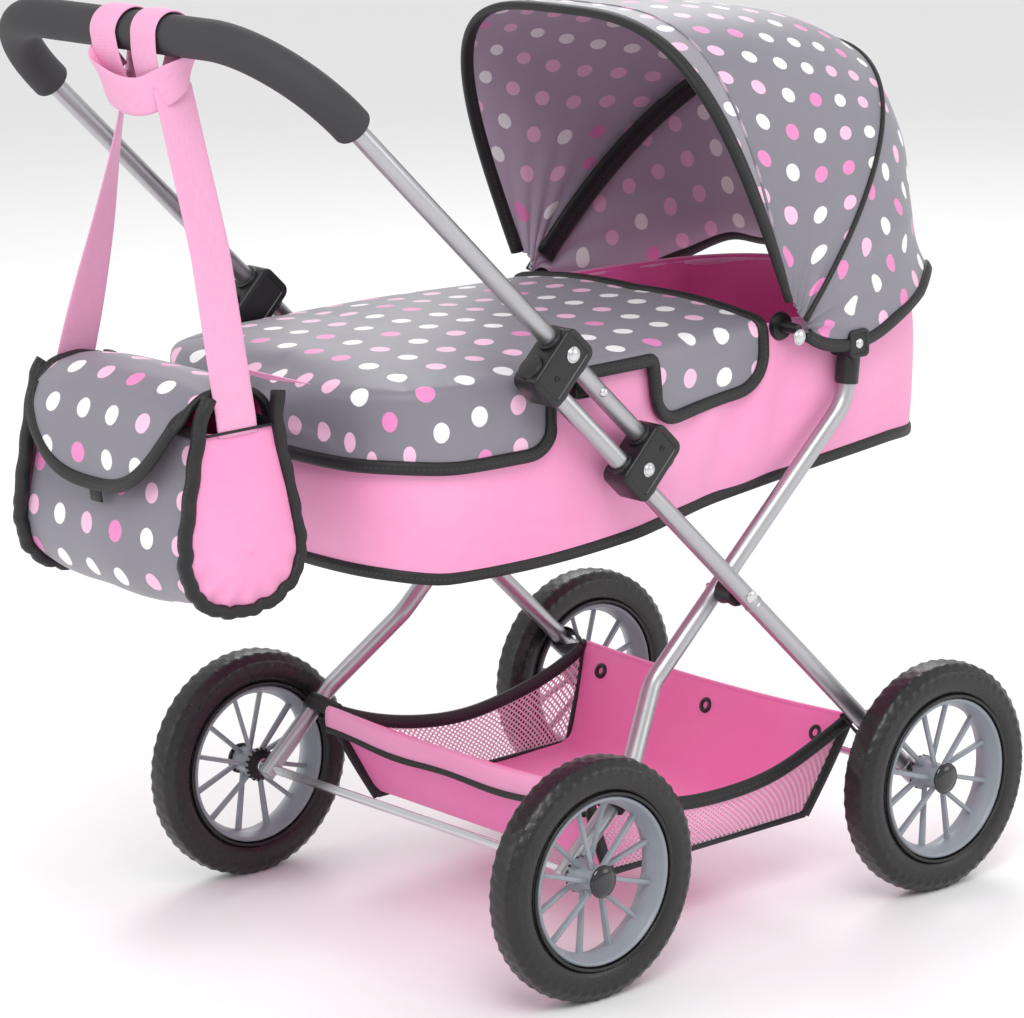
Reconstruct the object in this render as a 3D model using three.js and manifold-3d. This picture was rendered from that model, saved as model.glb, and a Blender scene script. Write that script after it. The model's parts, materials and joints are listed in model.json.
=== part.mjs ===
// A doll's pram: a crossed tube frame on four spoked wheels, a telescoping push handle with a
// hanging bag, a soft carrycot with a folding hood, and a net basket slung between the legs.
//
// Millimetres, +Z up, +X from the handle end to the hood end, +Y to the pram's left.
// Dimensions are given from the point on the ground midway between the two axles. The outer
// group then moves the pram along X, so that the finished part stands centred on its origin.
import * as THREE from 'three';
import { mergeVertices } from 'three/addons/utils/BufferGeometryUtils.js';
import Module from 'manifold-3d';

const wasm = await Module();
wasm.setup();

// ---------------------------------------------------------------- driving dimensions
const CENTRING_X = 51.7;         // from midway between the axles to the middle of the whole pram
const GAP = 0.3;                 // kept between pieces that touch

const WHEEL_R = 75;
const WHEEL_FACETS = 40;         // one flat of the tread lies on the ground
const AXLE_Z = WHEEL_R * Math.cos(Math.PI / WHEEL_FACETS);
const AXLE_X = 146.5;            // front axle at +, rear axle at -
const WHEEL_Y = 169.5;           // middle of each tyre
const TYRE_HALF = 12.3;
const SEAT_R = 52;               // where the tyre sits on the rim

const TUBE_R = 5.8;
const FRAME_Y = 146.6;           // front legs and handle arms
const CROSS = new THREE.Vector2(3.5, 216.8);        // x, z of the scissor pivot
const UPWARD = new THREE.Vector2(-1, 1).normalize();  // along the front legs, to the handle
const OUTWARD = new THREE.Vector2(1, 1).normalize();  // square to them, towards the hood
const ARM_OFFSET = 20.7;         // handle arm from front leg
const UPPER_CLAMP = 225.3;       // distances up the leg from the pivot
const LOWER_CLAMP = 129;
const LOCK_BUTTON = 187;
const GRIP_END = 435;
const CROSSBAR = 505;
const CROSSBAR_BEND = 65;
const GRIP_R = 11.8;

const REAR_INNER_Y = 121.4;      // rear legs where they cross inside the front legs
const REAR_FOOT_Y = 147;
const COT_PIVOT = new THREE.Vector2(121, 355);      // x, z of the cot's hinge on the rear legs

const COT_FOOT_X = -252;
const COT_HEAD_X = 234;
const COT_HEAD_FLARE = 10;        // how much further the head end reaches at its hem
const COT_MID_X = -30;
const COT_FOOT_HALF = 126;
const COT_HEAD_HALF = 113;
const COT_RIM_Z = 375;
const COT_WALL = 2.5;

const FLOOR_Z = 284;
const COVER_HEAD_X = 52;

const HOOD_PIVOT = new THREE.Vector2(67, 372);      // x, z
const FRONT_BOW_ANGLE = 112;
const MID_BOW_ANGLE = 47;
const REAR_HEM_ANGLE = 3;
const FRONT_BOW_HALF = 127.2;
const MID_BOW_HALF = 120.4;
const CANOPY_HALF = 131;

const BAG_X = -341;
const BAG_Y = -10;
const BAG_HALF_X = 38.5;
const BAG_HALF_Y = 80;
const BAG_FLOOR_Z = 262;
const BAG_MOUTH_Z = 370;
const BAG_CLOTH = 1.6;
const FLAP_HALF_Y = 66;
const STRAP_HALF = 14;
const HITCH_SPAN = [-38, 36];

// ---------------------------------------------------------------- materials
const finish = (colour, roughness, metalness) =>
  new THREE.MeshStandardMaterial({ color: colour, roughness, metalness });
const SATIN_TUBE = finish(0xc4c4c8, 0.35, 0.9);
const STEEL = finish(0xd0d0d2, 0.25, 1);
const BLACK_PLASTIC = finish(0x1b1b1d, 0.45, 0);
const GLOSS_CAP = finish(0x101012, 0.15, 0);
const RIM_PLASTIC = finish(0x9da3ab, 0.4, 0);
const TYRE_FOAM = finish(0x262424, 0.75, 0);
const GRIP_FOAM = finish(0x3a3a3c, 0.95, 0);
const PINK_CLOTH = finish(0xf49ac6, 0.8, 0);
const DOTTED_CLOTH = finish(0x85838c, 0.7, 0);
const PINK_WEBBING = finish(0xf59ac9, 0.8, 0);
const BOARD = finish(0xe2559a, 0.85, 0);

// ---------------------------------------------------------------- solids from geometries
const pram = new THREE.Group();
pram.position.x = CENTRING_X;

// Six times the volume inside a closed mesh, negative where its faces point inwards.
function signedVolume(position, index) {
  const [a, b, c] = [new THREE.Vector3(), new THREE.Vector3(), new THREE.Vector3()];
  let sum = 0;
  for (let i = 0; i < index.count; i += 3) {
    a.fromBufferAttribute(position, index.getX(i));
    b.fromBufferAttribute(position, index.getX(i + 1));
    c.fromBufferAttribute(position, index.getX(i + 2));
    sum += a.dot(b.cross(c));
  }
  return sum;
}

// The bare closed mesh: shared corners merged, slivers with no area dropped, faces outwards.
function bare(geometry) {
  const shape = geometry.clone();
  shape.deleteAttribute('normal');
  shape.deleteAttribute('uv');
  const merged = mergeVertices(shape, 1e-4);
  const flip = signedVolume(merged.attributes.position, merged.index) < 0;
  const index = [];
  for (let i = 0; i < merged.index.count; i += 3) {
    const [a, b, c] = [0, 1, 2].map((k) => merged.index.getX(i + k));
    const whole = a !== b && b !== c && c !== a;
    if (whole) index.push(a, ...(flip ? [c, b] : [b, c]));
  }
  merged.setIndex(index);
  return merged;
}

function toSolid(geometry) {
  const shape = bare(geometry);
  const vertProperties = new Float32Array(shape.attributes.position.array);
  const triVerts = new Uint32Array(shape.index.array);
  return new wasm.Manifold(new wasm.Mesh({ numProp: 3, vertProperties, triVerts }));
}

function fromLists(positions, index) {
  const geometry = new THREE.BufferGeometry();
  geometry.setAttribute('position', new THREE.BufferAttribute(new Float32Array(positions), 3));
  geometry.setIndex(index);
  return geometry;
}

function toGeometry(solid) {
  const mesh = solid.getMesh();
  return fromLists(mesh.vertProperties, Array.from(mesh.triVerts));
}

function cut(geometry, ...tools) {
  return toGeometry(tools.reduce((solid, tool) => solid.subtract(toSolid(tool)), toSolid(geometry)));
}

function join(geometry, ...others) {
  return toGeometry(others.reduce((solid, other) => solid.add(toSolid(other)), toSolid(geometry)));
}

function piece(name, geometry, material) {
  const mesh = new THREE.Mesh(bare(geometry), material);
  mesh.name = name;
  pram.add(mesh);
  return mesh;
}

// Both sides of the pram: side is +1 on the left and -1 on the right.
function onBothSides(make) {
  for (const [side, letter] of [[1, 'L'], [-1, 'R']]) make(side, letter);
}

// ---------------------------------------------------------------- shape helpers
// A solid of revolution about Y. The profile is a list of [radius, y].
function turned(profile, facets, closed = false) {
  const points = profile.map(([r, y]) => new THREE.Vector2(r, y));
  if (closed) points.push(points[0].clone());
  return new THREE.LatheGeometry(points, facets, Math.PI / facets);
}

function pinAcross(radius, fromY, toY, facets = 12) {
  const [low, high] = [Math.min(fromY, toY), Math.max(fromY, toY)];
  return turned([[0, low], [radius, low], [radius, high], [0, high]], facets);
}

function at(geometry, x, y, z) {
  return geometry.translate(x, y, z);
}

// A rod bent round its corners: one station at each end of a straight, several round each bend.
class BentRod extends THREE.Curve {
  constructor(corners, bendRadius, stepsPerBend) {
    super();
    this.stations = [];
    const last = corners.length - 1;
    corners.forEach((corner, i) => {
      if (i === 0 || i === last) {
        const along = corners[i === 0 ? 1 : last].clone().sub(corners[i === 0 ? 0 : last - 1]);
        this.stations.push({ point: corner.clone(), tangent: along.normalize() });
        return;
      }
      const into = corner.clone().sub(corners[i - 1]).normalize();
      const out = corners[i + 1].clone().sub(corner).normalize();
      const turn = into.angleTo(out);
      const back = bendRadius * Math.tan(turn / 2);
      const start = corner.clone().addScaledVector(into, -back);
      const axis = into.clone().cross(out).normalize();
      const centre = start.clone().addScaledVector(axis.clone().cross(into), bendRadius);
      for (let k = 0; k <= stepsPerBend; k += 1) {
        const angle = (turn * k) / stepsPerBend;
        const point = start.clone().sub(centre).applyAxisAngle(axis, angle).add(centre);
        this.stations.push({ point, tangent: into.clone().applyAxisAngle(axis, angle) });
      }
    });
  }

  station(u) {
    return this.stations[Math.round(u * (this.stations.length - 1))];
  }

  getPoint(u) {
    return this.station(u).point.clone();
  }

  getPointAt(u) {
    return this.getPoint(u);
  }

  getTangent(u) {
    return this.station(u).tangent.clone();
  }

  getTangentAt(u) {
    return this.getTangent(u);
  }
}

function roundSection(radius, sides) {
  const corners = Array.from({ length: sides }, (_, i) => {
    const angle = ((i + 0.5) * 2 * Math.PI) / sides;
    return new THREE.Vector2(radius * Math.cos(angle), radius * Math.sin(angle));
  });
  return new THREE.Shape(corners);
}

function rod(corners, radius, { bend = 20, steps = 4, sides = 10 } = {}) {
  const path = new BentRod(corners, bend, steps);
  return new THREE.ExtrudeGeometry(roundSection(radius, sides), {
    steps: path.stations.length - 1, extrudePath: path,
  });
}

// Closed skin over a stack of rings with equal point counts, the first and last ring filled in.
function skin(rings) {
  const count = rings[0].length;
  const positions = rings.flat().flatMap((p) => [p.x, p.y, p.z]);
  const index = [];
  for (let r = 0; r + 1 < rings.length; r += 1) {
    for (let i = 0; i < count; i += 1) {
      const j = (i + 1) % count;
      const [a, b, c, d] = [r * count + i, r * count + j, (r + 1) * count + j, (r + 1) * count + i];
      index.push(a, b, c, a, c, d);
    }
  }
  const middle = (ring) => ring.reduce((sum, p) => sum.add(p), new THREE.Vector3()).divideScalar(count);
  const [first, last] = [middle(rings[0]), middle(rings[rings.length - 1])];
  const firstAt = positions.length / 3;
  positions.push(first.x, first.y, first.z, last.x, last.y, last.z);
  const lastStart = (rings.length - 1) * count;
  for (let i = 0; i < count; i += 1) {
    const j = (i + 1) % count;
    index.push(firstAt, j, i, firstAt + 1, lastStart + i, lastStart + j);
  }
  return fromLists(positions, index);
}

// A cloth sheet with real thickness, from two matching grids of points [row][column].
function thickSheet(outer, inner) {
  const rows = outer.length;
  const columns = outer[0].length;
  const positions = [...outer.flat(), ...inner.flat()].flatMap((p) => [p.x, p.y, p.z]);
  const out = (r, c) => r * columns + c;
  const back = (r, c) => rows * columns + out(r, c);
  const index = [];
  const quad = (a, b, c, d) => index.push(a, b, c, a, c, d);
  for (let r = 0; r + 1 < rows; r += 1) {
    for (let c = 0; c + 1 < columns; c += 1) {
      quad(out(r, c), out(r, c + 1), out(r + 1, c + 1), out(r + 1, c));
      quad(back(r, c), back(r + 1, c), back(r + 1, c + 1), back(r, c + 1));
    }
    quad(out(r, 0), out(r + 1, 0), back(r + 1, 0), back(r, 0));
    quad(out(r + 1, columns - 1), out(r, columns - 1), back(r, columns - 1), back(r + 1, columns - 1));
  }
  for (let c = 0; c + 1 < columns; c += 1) {
    quad(out(0, c + 1), out(0, c), back(0, c), back(0, c + 1));
    quad(out(rows - 1, c), out(rows - 1, c + 1), back(rows - 1, c + 1), back(rows - 1, c));
  }
  return fromLists(positions, index);
}

const lerp = THREE.MathUtils.lerp;
const smooth = (x, from, to) => THREE.MathUtils.smoothstep(x, from, to);
const vec = (x, y, z) => new THREE.Vector3(x, y, z);

// ---------------------------------------------------------------- wheels
const AXLE_R = 3;
const AXLE_BORE = AXLE_R + 0.45;
const SPOKE_PAIRS = 6;
const SPOKE_FOOT_R = 7;
const SPOKE_HEAD_R = 47.6;

function spokedRim() {
  const ring = turned([
    [SEAT_R - GAP, -11], [SEAT_R - GAP, 11], [49.5, 11], [46, 0], [49, -11],
  ], WHEEL_FACETS, true);
  const hub = turned([
    [AXLE_BORE, -11.5], [11, -11.5], [11, -8], [8, -5], [7.5, 8.7], [AXLE_BORE, 8.7],
  ], 12, true);
  const spokes = [];
  for (let i = 0; i < SPOKE_PAIRS; i += 1) {
    for (const lean of [-1, 1]) {
      const foot = ((i + lean * 0.13) * 2 * Math.PI) / SPOKE_PAIRS;
      const head = ((i + lean * 0.27) * 2 * Math.PI) / SPOKE_PAIRS;
      const from = vec(SPOKE_FOOT_R * Math.cos(foot), lean * 2.4, SPOKE_FOOT_R * Math.sin(foot));
      const to = vec(SPOKE_HEAD_R * Math.cos(head), 0, SPOKE_HEAD_R * Math.sin(head));
      spokes.push(rod([from, to], 1.5, { sides: 4 }));
    }
  }
  return join(ring, hub, ...spokes);
}

function tyre() {
  const half = TYRE_HALF;
  return turned([
    [SEAT_R, -10.4], [60, -half], [70, -half + 1.2], [WHEEL_R, -5.5],
    [WHEEL_R, 5.5], [70, half - 1.2], [60, half], [SEAT_R, 10.4],
  ], WHEEL_FACETS, true);
}

function hubCap() {
  return turned([[0, 9], [9.8, 9], [10.2, 10], [9, 11.6], [5.5, 12.6], [0, 13]], 16);
}

const RIM = spokedRim();
const AXLE_END = 177.5;
const COLLAR_R = 5;
for (const [x, end] of [[AXLE_X, 'front'], [-AXLE_X, 'rear']]) {
  onBothSides((side, letter) => {
    const parts = [
      ['tyre', tyre(), TYRE_FOAM],
      ['rim', RIM.clone(), RIM_PLASTIC],
      ['hub_cap', hubCap(), GLOSS_CAP],
    ];
    for (const [name, geometry, material] of parts) {
      const mesh = piece(`${name}_${end}_${letter}`, geometry, material);
      mesh.position.set(x, side * WHEEL_Y, AXLE_Z);
      mesh.rotation.z = side > 0 ? 0 : Math.PI;
    }
  });
  const shoulder = REAR_FOOT_Y + TUBE_R + GAP;
  const inner = WHEEL_Y - TYRE_HALF + 0.4;
  const half = [[AXLE_R, shoulder], [COLLAR_R, shoulder], [COLLAR_R, inner], [AXLE_R, inner],
    [AXLE_R, AXLE_END], [0, AXLE_END]];
  const mirrored = [...half].reverse().map(([r, y]) => [r, -y]);
  piece(`axle_${end}`, at(turned([...mirrored, ...half], 12), x, 0, AXLE_Z), STEEL);
}

// ---------------------------------------------------------------- front legs and handle
// A point on the front legs' plane: `up` along the leg from the pivot, `out` square to it.
function onLeg(up, out, y) {
  const flat = CROSS.clone().addScaledVector(UPWARD, up).addScaledVector(OUTWARD, out);
  return vec(flat.x, y, flat.y);
}

// The front axle's place along the leg and square to it.
const AXLE_UP = (CROSS.x - AXLE_X + AXLE_Z - CROSS.y) / Math.SQRT2;
const AXLE_OUT = (AXLE_X - CROSS.x + AXLE_Z - CROSS.y) / Math.SQRT2;

const CLAMP_LENGTH = 26;
const CLAMP_THICK = 21;
const CLAMP_SPAN = [-11.5, 33];  // square to the leg, from its axis

// A block with rounded corners, square to the front legs, with holes for the leg and the arm.
function clampBlock(up, y, legHole, armHole, corner) {
  const shape = new THREE.Shape();
  const [low, high] = CLAMP_SPAN;
  const half = CLAMP_LENGTH / 2;
  shape.moveTo(low + corner, -half);
  shape.lineTo(high - corner, -half);
  shape.quadraticCurveTo(high, -half, high, -half + corner);
  shape.lineTo(high, half - corner);
  shape.quadraticCurveTo(high, half, high - corner, half);
  shape.lineTo(low + corner, half);
  shape.quadraticCurveTo(low, half, low, half - corner);
  shape.lineTo(low, -half + corner);
  shape.quadraticCurveTo(low, -half, low + corner, -half);
  const block = new THREE.ExtrudeGeometry(shape, {
    depth: CLAMP_THICK, bevelEnabled: false, curveSegments: 3,
  });
  // The outline's X runs outward, its Y up the leg, and the extrusion across the pram.
  const basis = new THREE.Matrix4().makeBasis(
    vec(OUTWARD.x, 0, OUTWARD.y), vec(UPWARD.x, 0, UPWARD.y), vec(0, 1, 0));
  const centre = onLeg(up, 0, y - CLAMP_THICK / 2);
  block.applyMatrix4(basis).translate(centre.x, centre.y, centre.z);
  const bore = (out, from, to, radius) => rod([onLeg(up - from, out, y), onLeg(up + to, out, y)],
    radius, { sides: 12 });
  const through = CLAMP_LENGTH;
  return { block, holes: [
    bore(0, through, legHole.blind ?? through, legHole.r),
    bore(ARM_OFFSET, armHole.blind ?? through, through, armHole.r),
  ] };
}

const LEG_TOP = UPPER_CLAMP + 7;
const ARM_FOOT = LOWER_CLAMP - 8;
const SLIDING_R = TUBE_R + 0.35;
const FITTED_R = TUBE_R + GAP;

onBothSides((side, letter) => {
  const y = side * FRAME_Y;
  const drill = (up, out, radius) => {
    const p = onLeg(up, out, 0);
    return at(pinAcross(radius, y - 9, y + 9), p.x, 0, p.z);
  };
  const leg = rod([onLeg(AXLE_UP - 7, 0, y), onLeg(LEG_TOP, 0, y)], TUBE_R, { sides: 12 });
  piece(`front_leg_${letter}`, cut(leg, drill(AXLE_UP, AXLE_OUT, 3.4), drill(0, 0, 2.4)), SATIN_TUBE);

  const upper = clampBlock(UPPER_CLAMP, y, { r: FITTED_R, blind: 8 }, { r: SLIDING_R }, 5);
  // The lock button passes through this groove when the handle slides.
  const groove = new THREE.BoxGeometry(60, 5, 9);
  groove.rotateY(Math.PI / 4);
  const grooveAt = onLeg(UPPER_CLAMP, ARM_OFFSET, y + side * 6.1);
  groove.translate(grooveAt.x, grooveAt.y, grooveAt.z);
  piece(`upper_clamp_${letter}`, cut(upper.block, ...upper.holes, groove), BLACK_PLASTIC);

  const rivetProfile = (radius, from, to) => turned([
    [0, from], [radius, from], [radius, (from + to) / 2], [radius * 0.55, to], [0, to]], 12);
  const rivet = (up, out, start, radius, high) => {
    const p = onLeg(up, out, 0);
    const geometry = rivetProfile(radius, 0, high);
    if (side < 0) geometry.rotateX(Math.PI);
    return at(geometry, p.x, y + side * start, p.z);
  };
  const clampFace = CLAMP_THICK / 2 + GAP;
  piece(`upper_clamp_rivet_${letter}`, rivet(UPPER_CLAMP, ARM_OFFSET, clampFace, 4, 1.9), STEEL);

  const lower = clampBlock(LOWER_CLAMP, y, { r: SLIDING_R }, { r: FITTED_R, blind: 9 }, 6);
  piece(`lower_clamp_${letter}`, cut(lower.block, ...lower.holes), BLACK_PLASTIC);
  piece(`lower_clamp_rivet_${letter}`, rivet(LOWER_CLAMP, 6, clampFace, 3.4, 1.7), STEEL);
  piece(`lock_button_${letter}`, rivet(LOCK_BUTTON, ARM_OFFSET, 3.2, 3.2, 4.4), STEEL);
});

// The handle's centreline: up one arm from `foot`, across the bar and down the other arm.
const handlePath = (foot) => [
  onLeg(foot, ARM_OFFSET, -FRAME_Y), onLeg(CROSSBAR, ARM_OFFSET, -FRAME_Y),
  onLeg(CROSSBAR, ARM_OFFSET, FRAME_Y), onLeg(foot, ARM_OFFSET, FRAME_Y),
];
const buttonWells = [-1, 1].map((side) => {
  const p = onLeg(LOCK_BUTTON, ARM_OFFSET, 0);
  return at(pinAcross(3.6, side * (FRAME_Y + 0.6), side * (FRAME_Y + 9)), p.x, 0, p.z);
});
const bentTube = (foot, radius) => rod(handlePath(foot), radius, {
  bend: CROSSBAR_BEND, steps: 7, sides: 12,
});
piece('handle_tube', cut(bentTube(ARM_FOOT, TUBE_R), ...buttonWells), SATIN_TUBE);
const foam = bentTube(GRIP_END, GRIP_R);
piece('handle_grip', cut(foam, bentTube(GRIP_END - 30, FITTED_R)), GRIP_FOAM);

// ---------------------------------------------------------------- rear legs and the scissor pivot
const REAR_LEG = [
  [-AXLE_X - 4.6, REAR_FOOT_Y, AXLE_Z - 4], [-97, REAR_FOOT_Y, 118.7], [-52, REAR_INNER_Y, 167],
  [116, REAR_INNER_Y, 318], [COT_PIVOT.x, REAR_INNER_Y, COT_PIVOT.y + 7],
];
const REAR_BEND = 34;
const PIN_R = 2;
const PIN_HOLE_R = 2.4;
const SPACER_R = 8;
const cross = (geometry) => at(geometry, CROSS.x, 0, CROSS.y);
const cotPivot = (geometry) => at(geometry, COT_PIVOT.x, 0, COT_PIVOT.y);
onBothSides((side, letter) => {
  const corners = REAR_LEG.map(([x, y, z]) => vec(x, side * y, z));
  const tube = rod(corners, TUBE_R, { bend: REAR_BEND, steps: 4, sides: 12 });
  const inner = side * REAR_INNER_Y;
  const holes = [
    at(pinAcross(3.4, side * (REAR_FOOT_Y - 9), side * (REAR_FOOT_Y + 9)), -AXLE_X, 0, AXLE_Z),
    cross(pinAcross(PIN_HOLE_R, inner - 9, inner + 9)),
    cotPivot(pinAcross(PIN_HOLE_R, inner - 9, inner + 9)),
  ];
  piece(`rear_leg_${letter}`, cut(tube, ...holes), SATIN_TUBE);

  const spacerIn = side * (REAR_INNER_Y + TUBE_R + GAP);
  const spacerOut = side * (FRAME_Y - TUBE_R - GAP);
  const spacer = cross(pinAcross(SPACER_R, spacerIn, spacerOut, 16));
  const spacerHole = cross(pinAcross(PIN_HOLE_R, spacerIn - side, spacerOut + side));
  piece(`pivot_spacer_${letter}`, cut(spacer, spacerHole), BLACK_PLASTIC);
  const headOut = FRAME_Y + TUBE_R + GAP;
  const pin = join(
    cross(pinAcross(PIN_R, side * (REAR_INNER_Y - 8), side * (headOut + 0.5))),
    cross(pinAcross(3.4, side * headOut, side * (headOut + 1.2))));
  piece(`cross_pin_${letter}`, pin, STEEL);
});

// ---------------------------------------------------------------- carrycot
function cotHalfWidth(x, widen) {
  return lerp(COT_FOOT_HALF, COT_HEAD_HALF, smooth(x, -70, 20)) + widen;
}

// The cot's outline in plan, grown by `widen`: squarish at the foot, rounder at the head, where
// `flare` is the share of the head's flare.
function cotRing(z, widen, flare = 0, count = 44) {
  return Array.from({ length: count }, (_, i) => {
    const angle = ((i + 0.5) * 2 * Math.PI) / count;
    const [c, s] = [Math.cos(angle), Math.sin(angle)];
    const head = c > 0;
    const power = head ? 4 : 5.5;
    const headReach = COT_HEAD_X - COT_MID_X + flare * COT_HEAD_FLARE;
    const reach = (head ? headReach : COT_MID_X - COT_FOOT_X) + widen;
    const x = COT_MID_X + reach * Math.sign(c) * Math.abs(c) ** (2 / power);
    const y = cotHalfWidth(x, widen) * Math.sign(s) * Math.abs(s) ** (2 / power);
    return vec(x, y, typeof z === 'function' ? z(x) : z);
  });
}

// The bottom edge of the cloth is lowest near the foot and rises to the head.
const hemZ = (x) => 258 + 21 * smooth(x, -150, 175) - 5 * smooth(x, 175, 240) + 7 * smooth(-x, 200, 252);
const underFloorZ = (x) => Math.max(hemZ(x) + 3, FLOOR_Z - 8);
const cotCloth = skin([
  cotRing(hemZ, -9, 1), cotRing(hemZ, -6, 1), cotRing(320, -1.5, 0.5), cotRing(COT_RIM_Z, 0),
  cotRing(COT_RIM_Z, -COT_WALL), cotRing(320, -COT_WALL - 1.5, 0.5),
  cotRing(underFloorZ, -COT_WALL - 6, 0.9),
]);
piece('cot_body', cotCloth, PINK_CLOTH);
piece('cot_board', skin([cotRing(FLOOR_Z - 1, -13), cotRing(FLOOR_Z + 2, -13)]), BOARD);
piece('mattress', skin([
  cotRing(FLOOR_Z + 2.4, -15), cotRing(FLOOR_Z + 8, -12),
  cotRing(FLOOR_Z + 15, -13), cotRing(FLOOR_Z + 20, -20),
]), PINK_CLOTH);

const coverOuter = skin([
  cotRing(326, 4.4), cotRing(375, 4.4), cotRing(380, 1.5), cotRing(383, -7), cotRing(385.5, -60),
]);
const coverInner = skin([
  cotRing(320, 2.4), cotRing(374, 2.4), cotRing(377.8, 0.2), cotRing(380.6, -8), cotRing(383, -60),
]);
const beyondHead = at(new THREE.BoxGeometry(300, 400, 200), COVER_HEAD_X + 150, 0, 360);
// The side skirts are slit where the frame's clamps reach the cot.
const slit = at(new THREE.BoxGeometry(83, 400, 60), -94.5, 0, 342);
piece('cover', cut(coverOuter, coverInner, beyondHead, slit), DOTTED_CLOTH);

const HOOK = { x: -112, z: 362, length: 15, height: 9 };
const BRACKET = { length: 18, height: 17, innerY: 111 };
const LEG_CAP = { length: 17, across: 14.4, height: 16, outward: 1.6 };

onBothSides((side, letter) => {
  const y = side * (COT_FOOT_HALF + GAP + 0.2);
  const reach = side * (FRAME_Y - CLAMP_THICK / 2 - GAP) - y;
  const hook = new THREE.BoxGeometry(HOOK.length, Math.abs(reach), HOOK.height);
  piece(`foot_hook_${letter}`, at(hook, HOOK.x, y + reach / 2, HOOK.z), BLACK_PLASTIC);

  // Bracket and screw that hang the cot on the top of each rear leg.
  const inner = side * (REAR_INNER_Y - TUBE_R - GAP);
  const plateFrom = side * BRACKET.innerY;
  const plate = new THREE.BoxGeometry(BRACKET.length, Math.abs(inner - plateFrom), BRACKET.height);
  at(plate, COT_PIVOT.x, (inner + plateFrom) / 2, COT_PIVOT.y);
  const screw = cotPivot(pinAcross(PIN_R, plateFrom, side * (REAR_INNER_Y + TUBE_R + 1.5)));
  piece(`cot_bracket_${letter}`, join(plate, screw), BLACK_PLASTIC);

  const legY = side * REAR_INNER_Y;
  const cap = new THREE.BoxGeometry(LEG_CAP.length, LEG_CAP.across, LEG_CAP.height);
  at(cap, COT_PIVOT.x, legY + side * LEG_CAP.outward, COT_PIVOT.y + 1);
  const legTop = [vec(116.3, legY, 322), vec(COT_PIVOT.x, legY, COT_PIVOT.y + 7.4)];
  const socket = rod(legTop, FITTED_R, { sides: 12 });
  const screwHole = cotPivot(pinAcross(PIN_HOLE_R, side * 100, side * 140));
  piece(`leg_cap_${letter}`, cut(cap, socket, screwHole), BLACK_PLASTIC);
});

// ---------------------------------------------------------------- hood
// A point of the hood's fan: `angle` from level at the pivot, `reach` from the pivot's axis.
function inFan(angle, reach, y) {
  const a = THREE.MathUtils.degToRad(angle);
  return vec(HOOD_PIVOT.x + reach * Math.cos(a), y, HOOD_PIVOT.y + reach * Math.sin(a));
}

// Half an arch: reach and width on a squared-off circle, from the pivot (0) to the crown (1).
function archPoint(t, height, half, power) {
  const a = (t * Math.PI) / 2;
  return [height * Math.sin(a) ** (2 / power), half * Math.cos(a) ** (2 / power)];
}

function bowLine(angle, height, half, power) {
  const corners = [];
  const steps = 11;
  for (let i = -steps; i <= steps; i += 1) {
    const t = 1 - Math.abs(i) / steps;
    const [reach, width] = archPoint(t, height, half, power);
    corners.push(inFan(angle, i === -steps || i === steps ? 1.5 : reach, Math.sign(i) * width));
  }
  return corners;
}

class ThroughPoints extends THREE.CatmullRomCurve3 {
  getPointAt(u) {
    return this.getPoint(u);
  }

  getTangentAt(u) {
    return this.getTangent(u);
  }
}

const BOW_WIRE_R = 2.2;
const BOW_R = 2.3;               // half the thickness of the eye at each end of a bow
const EYE_R = 4.5;
const EYE_HOLE_R = 2.2;

function hoodBow(angle, height, half, power) {
  const path = new ThroughPoints(bowLine(angle, height, half, power), false, 'centripetal');
  const wire = new THREE.ExtrudeGeometry(roundSection(BOW_WIRE_R, 6), { steps: 22, extrudePath: path });
  const discs = (radius, reach) => [-1, 1].map((side) => at(
    pinAcross(radius, side * (half - reach), side * (half + reach)), HOOD_PIVOT.x, 0, HOOD_PIVOT.y));
  return cut(join(wire, ...discs(EYE_R, BOW_R)), ...discs(EYE_HOLE_R, 5));
}

piece('hood_front_bow', hoodBow(FRONT_BOW_ANGLE, 207, FRONT_BOW_HALF, 3.3), STEEL);
piece('hood_mid_bow', hoodBow(MID_BOW_ANGLE, 200, MID_BOW_HALF, 2.4), STEEL);
onBothSides((side, letter) => {
  const wallY = cotHalfWidth(HOOD_PIVOT.x, GAP);
  const stud = { r: 1.8, end: 131.2 };
  const plate = turned([
    [0, wallY], [9, wallY], [9, wallY + 3], [stud.r, wallY + 3.4], [stud.r, stud.end], [0, stud.end],
  ], 16);
  if (side < 0) plate.rotateX(Math.PI);
  piece(`hood_pivot_${letter}`, at(plate, HOOD_PIVOT.x, 0, HOOD_PIVOT.y), BLACK_PLASTIC);
});

// How far the crown stands from the pivot, and how boxy the arch is, round the fan.
const BACK_ANGLE = 28;            // the back of the hood turns down to the rear hem here
function crownReach(angle) {
  const half = (from, to) => Math.sin(Math.PI * THREE.MathUtils.clamp((angle - from) / (to - from), 0, 1));
  const sag = 20 * half(BACK_ANGLE, FRONT_BOW_ANGLE);
  const shoulder = 8 * half(BACK_ANGLE, 76);
  const waist = 21 * half(REAR_HEM_ANGLE, BACK_ANGLE);
  return 212 - sag + shoulder - waist;
}

function hoodGrid(grow) {
  const rows = 13;
  const across = 12;
  return Array.from({ length: rows }, (_, r) => {
    const angle = lerp(FRONT_BOW_ANGLE, REAR_HEM_ANGLE, r / (rows - 1));
    const power = lerp(3.6, 2.2, smooth(-angle, -FRONT_BOW_ANGLE, -40));
    const row = [];
    for (let i = -across; i <= across; i += 1) {
      const t = 1 - Math.abs(i) / across;
      const [reach, width] = archPoint(
        Math.max(t, 0.0016), crownReach(angle) + grow, CANOPY_HALF + grow, power);
      row.push(inFan(angle, Math.max(reach, 13), Math.sign(i) * width));
    }
    return row;
  });
}
piece('canopy', thickSheet(hoodGrid(1.6), hoodGrid(0)), DOTTED_CLOTH);

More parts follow.
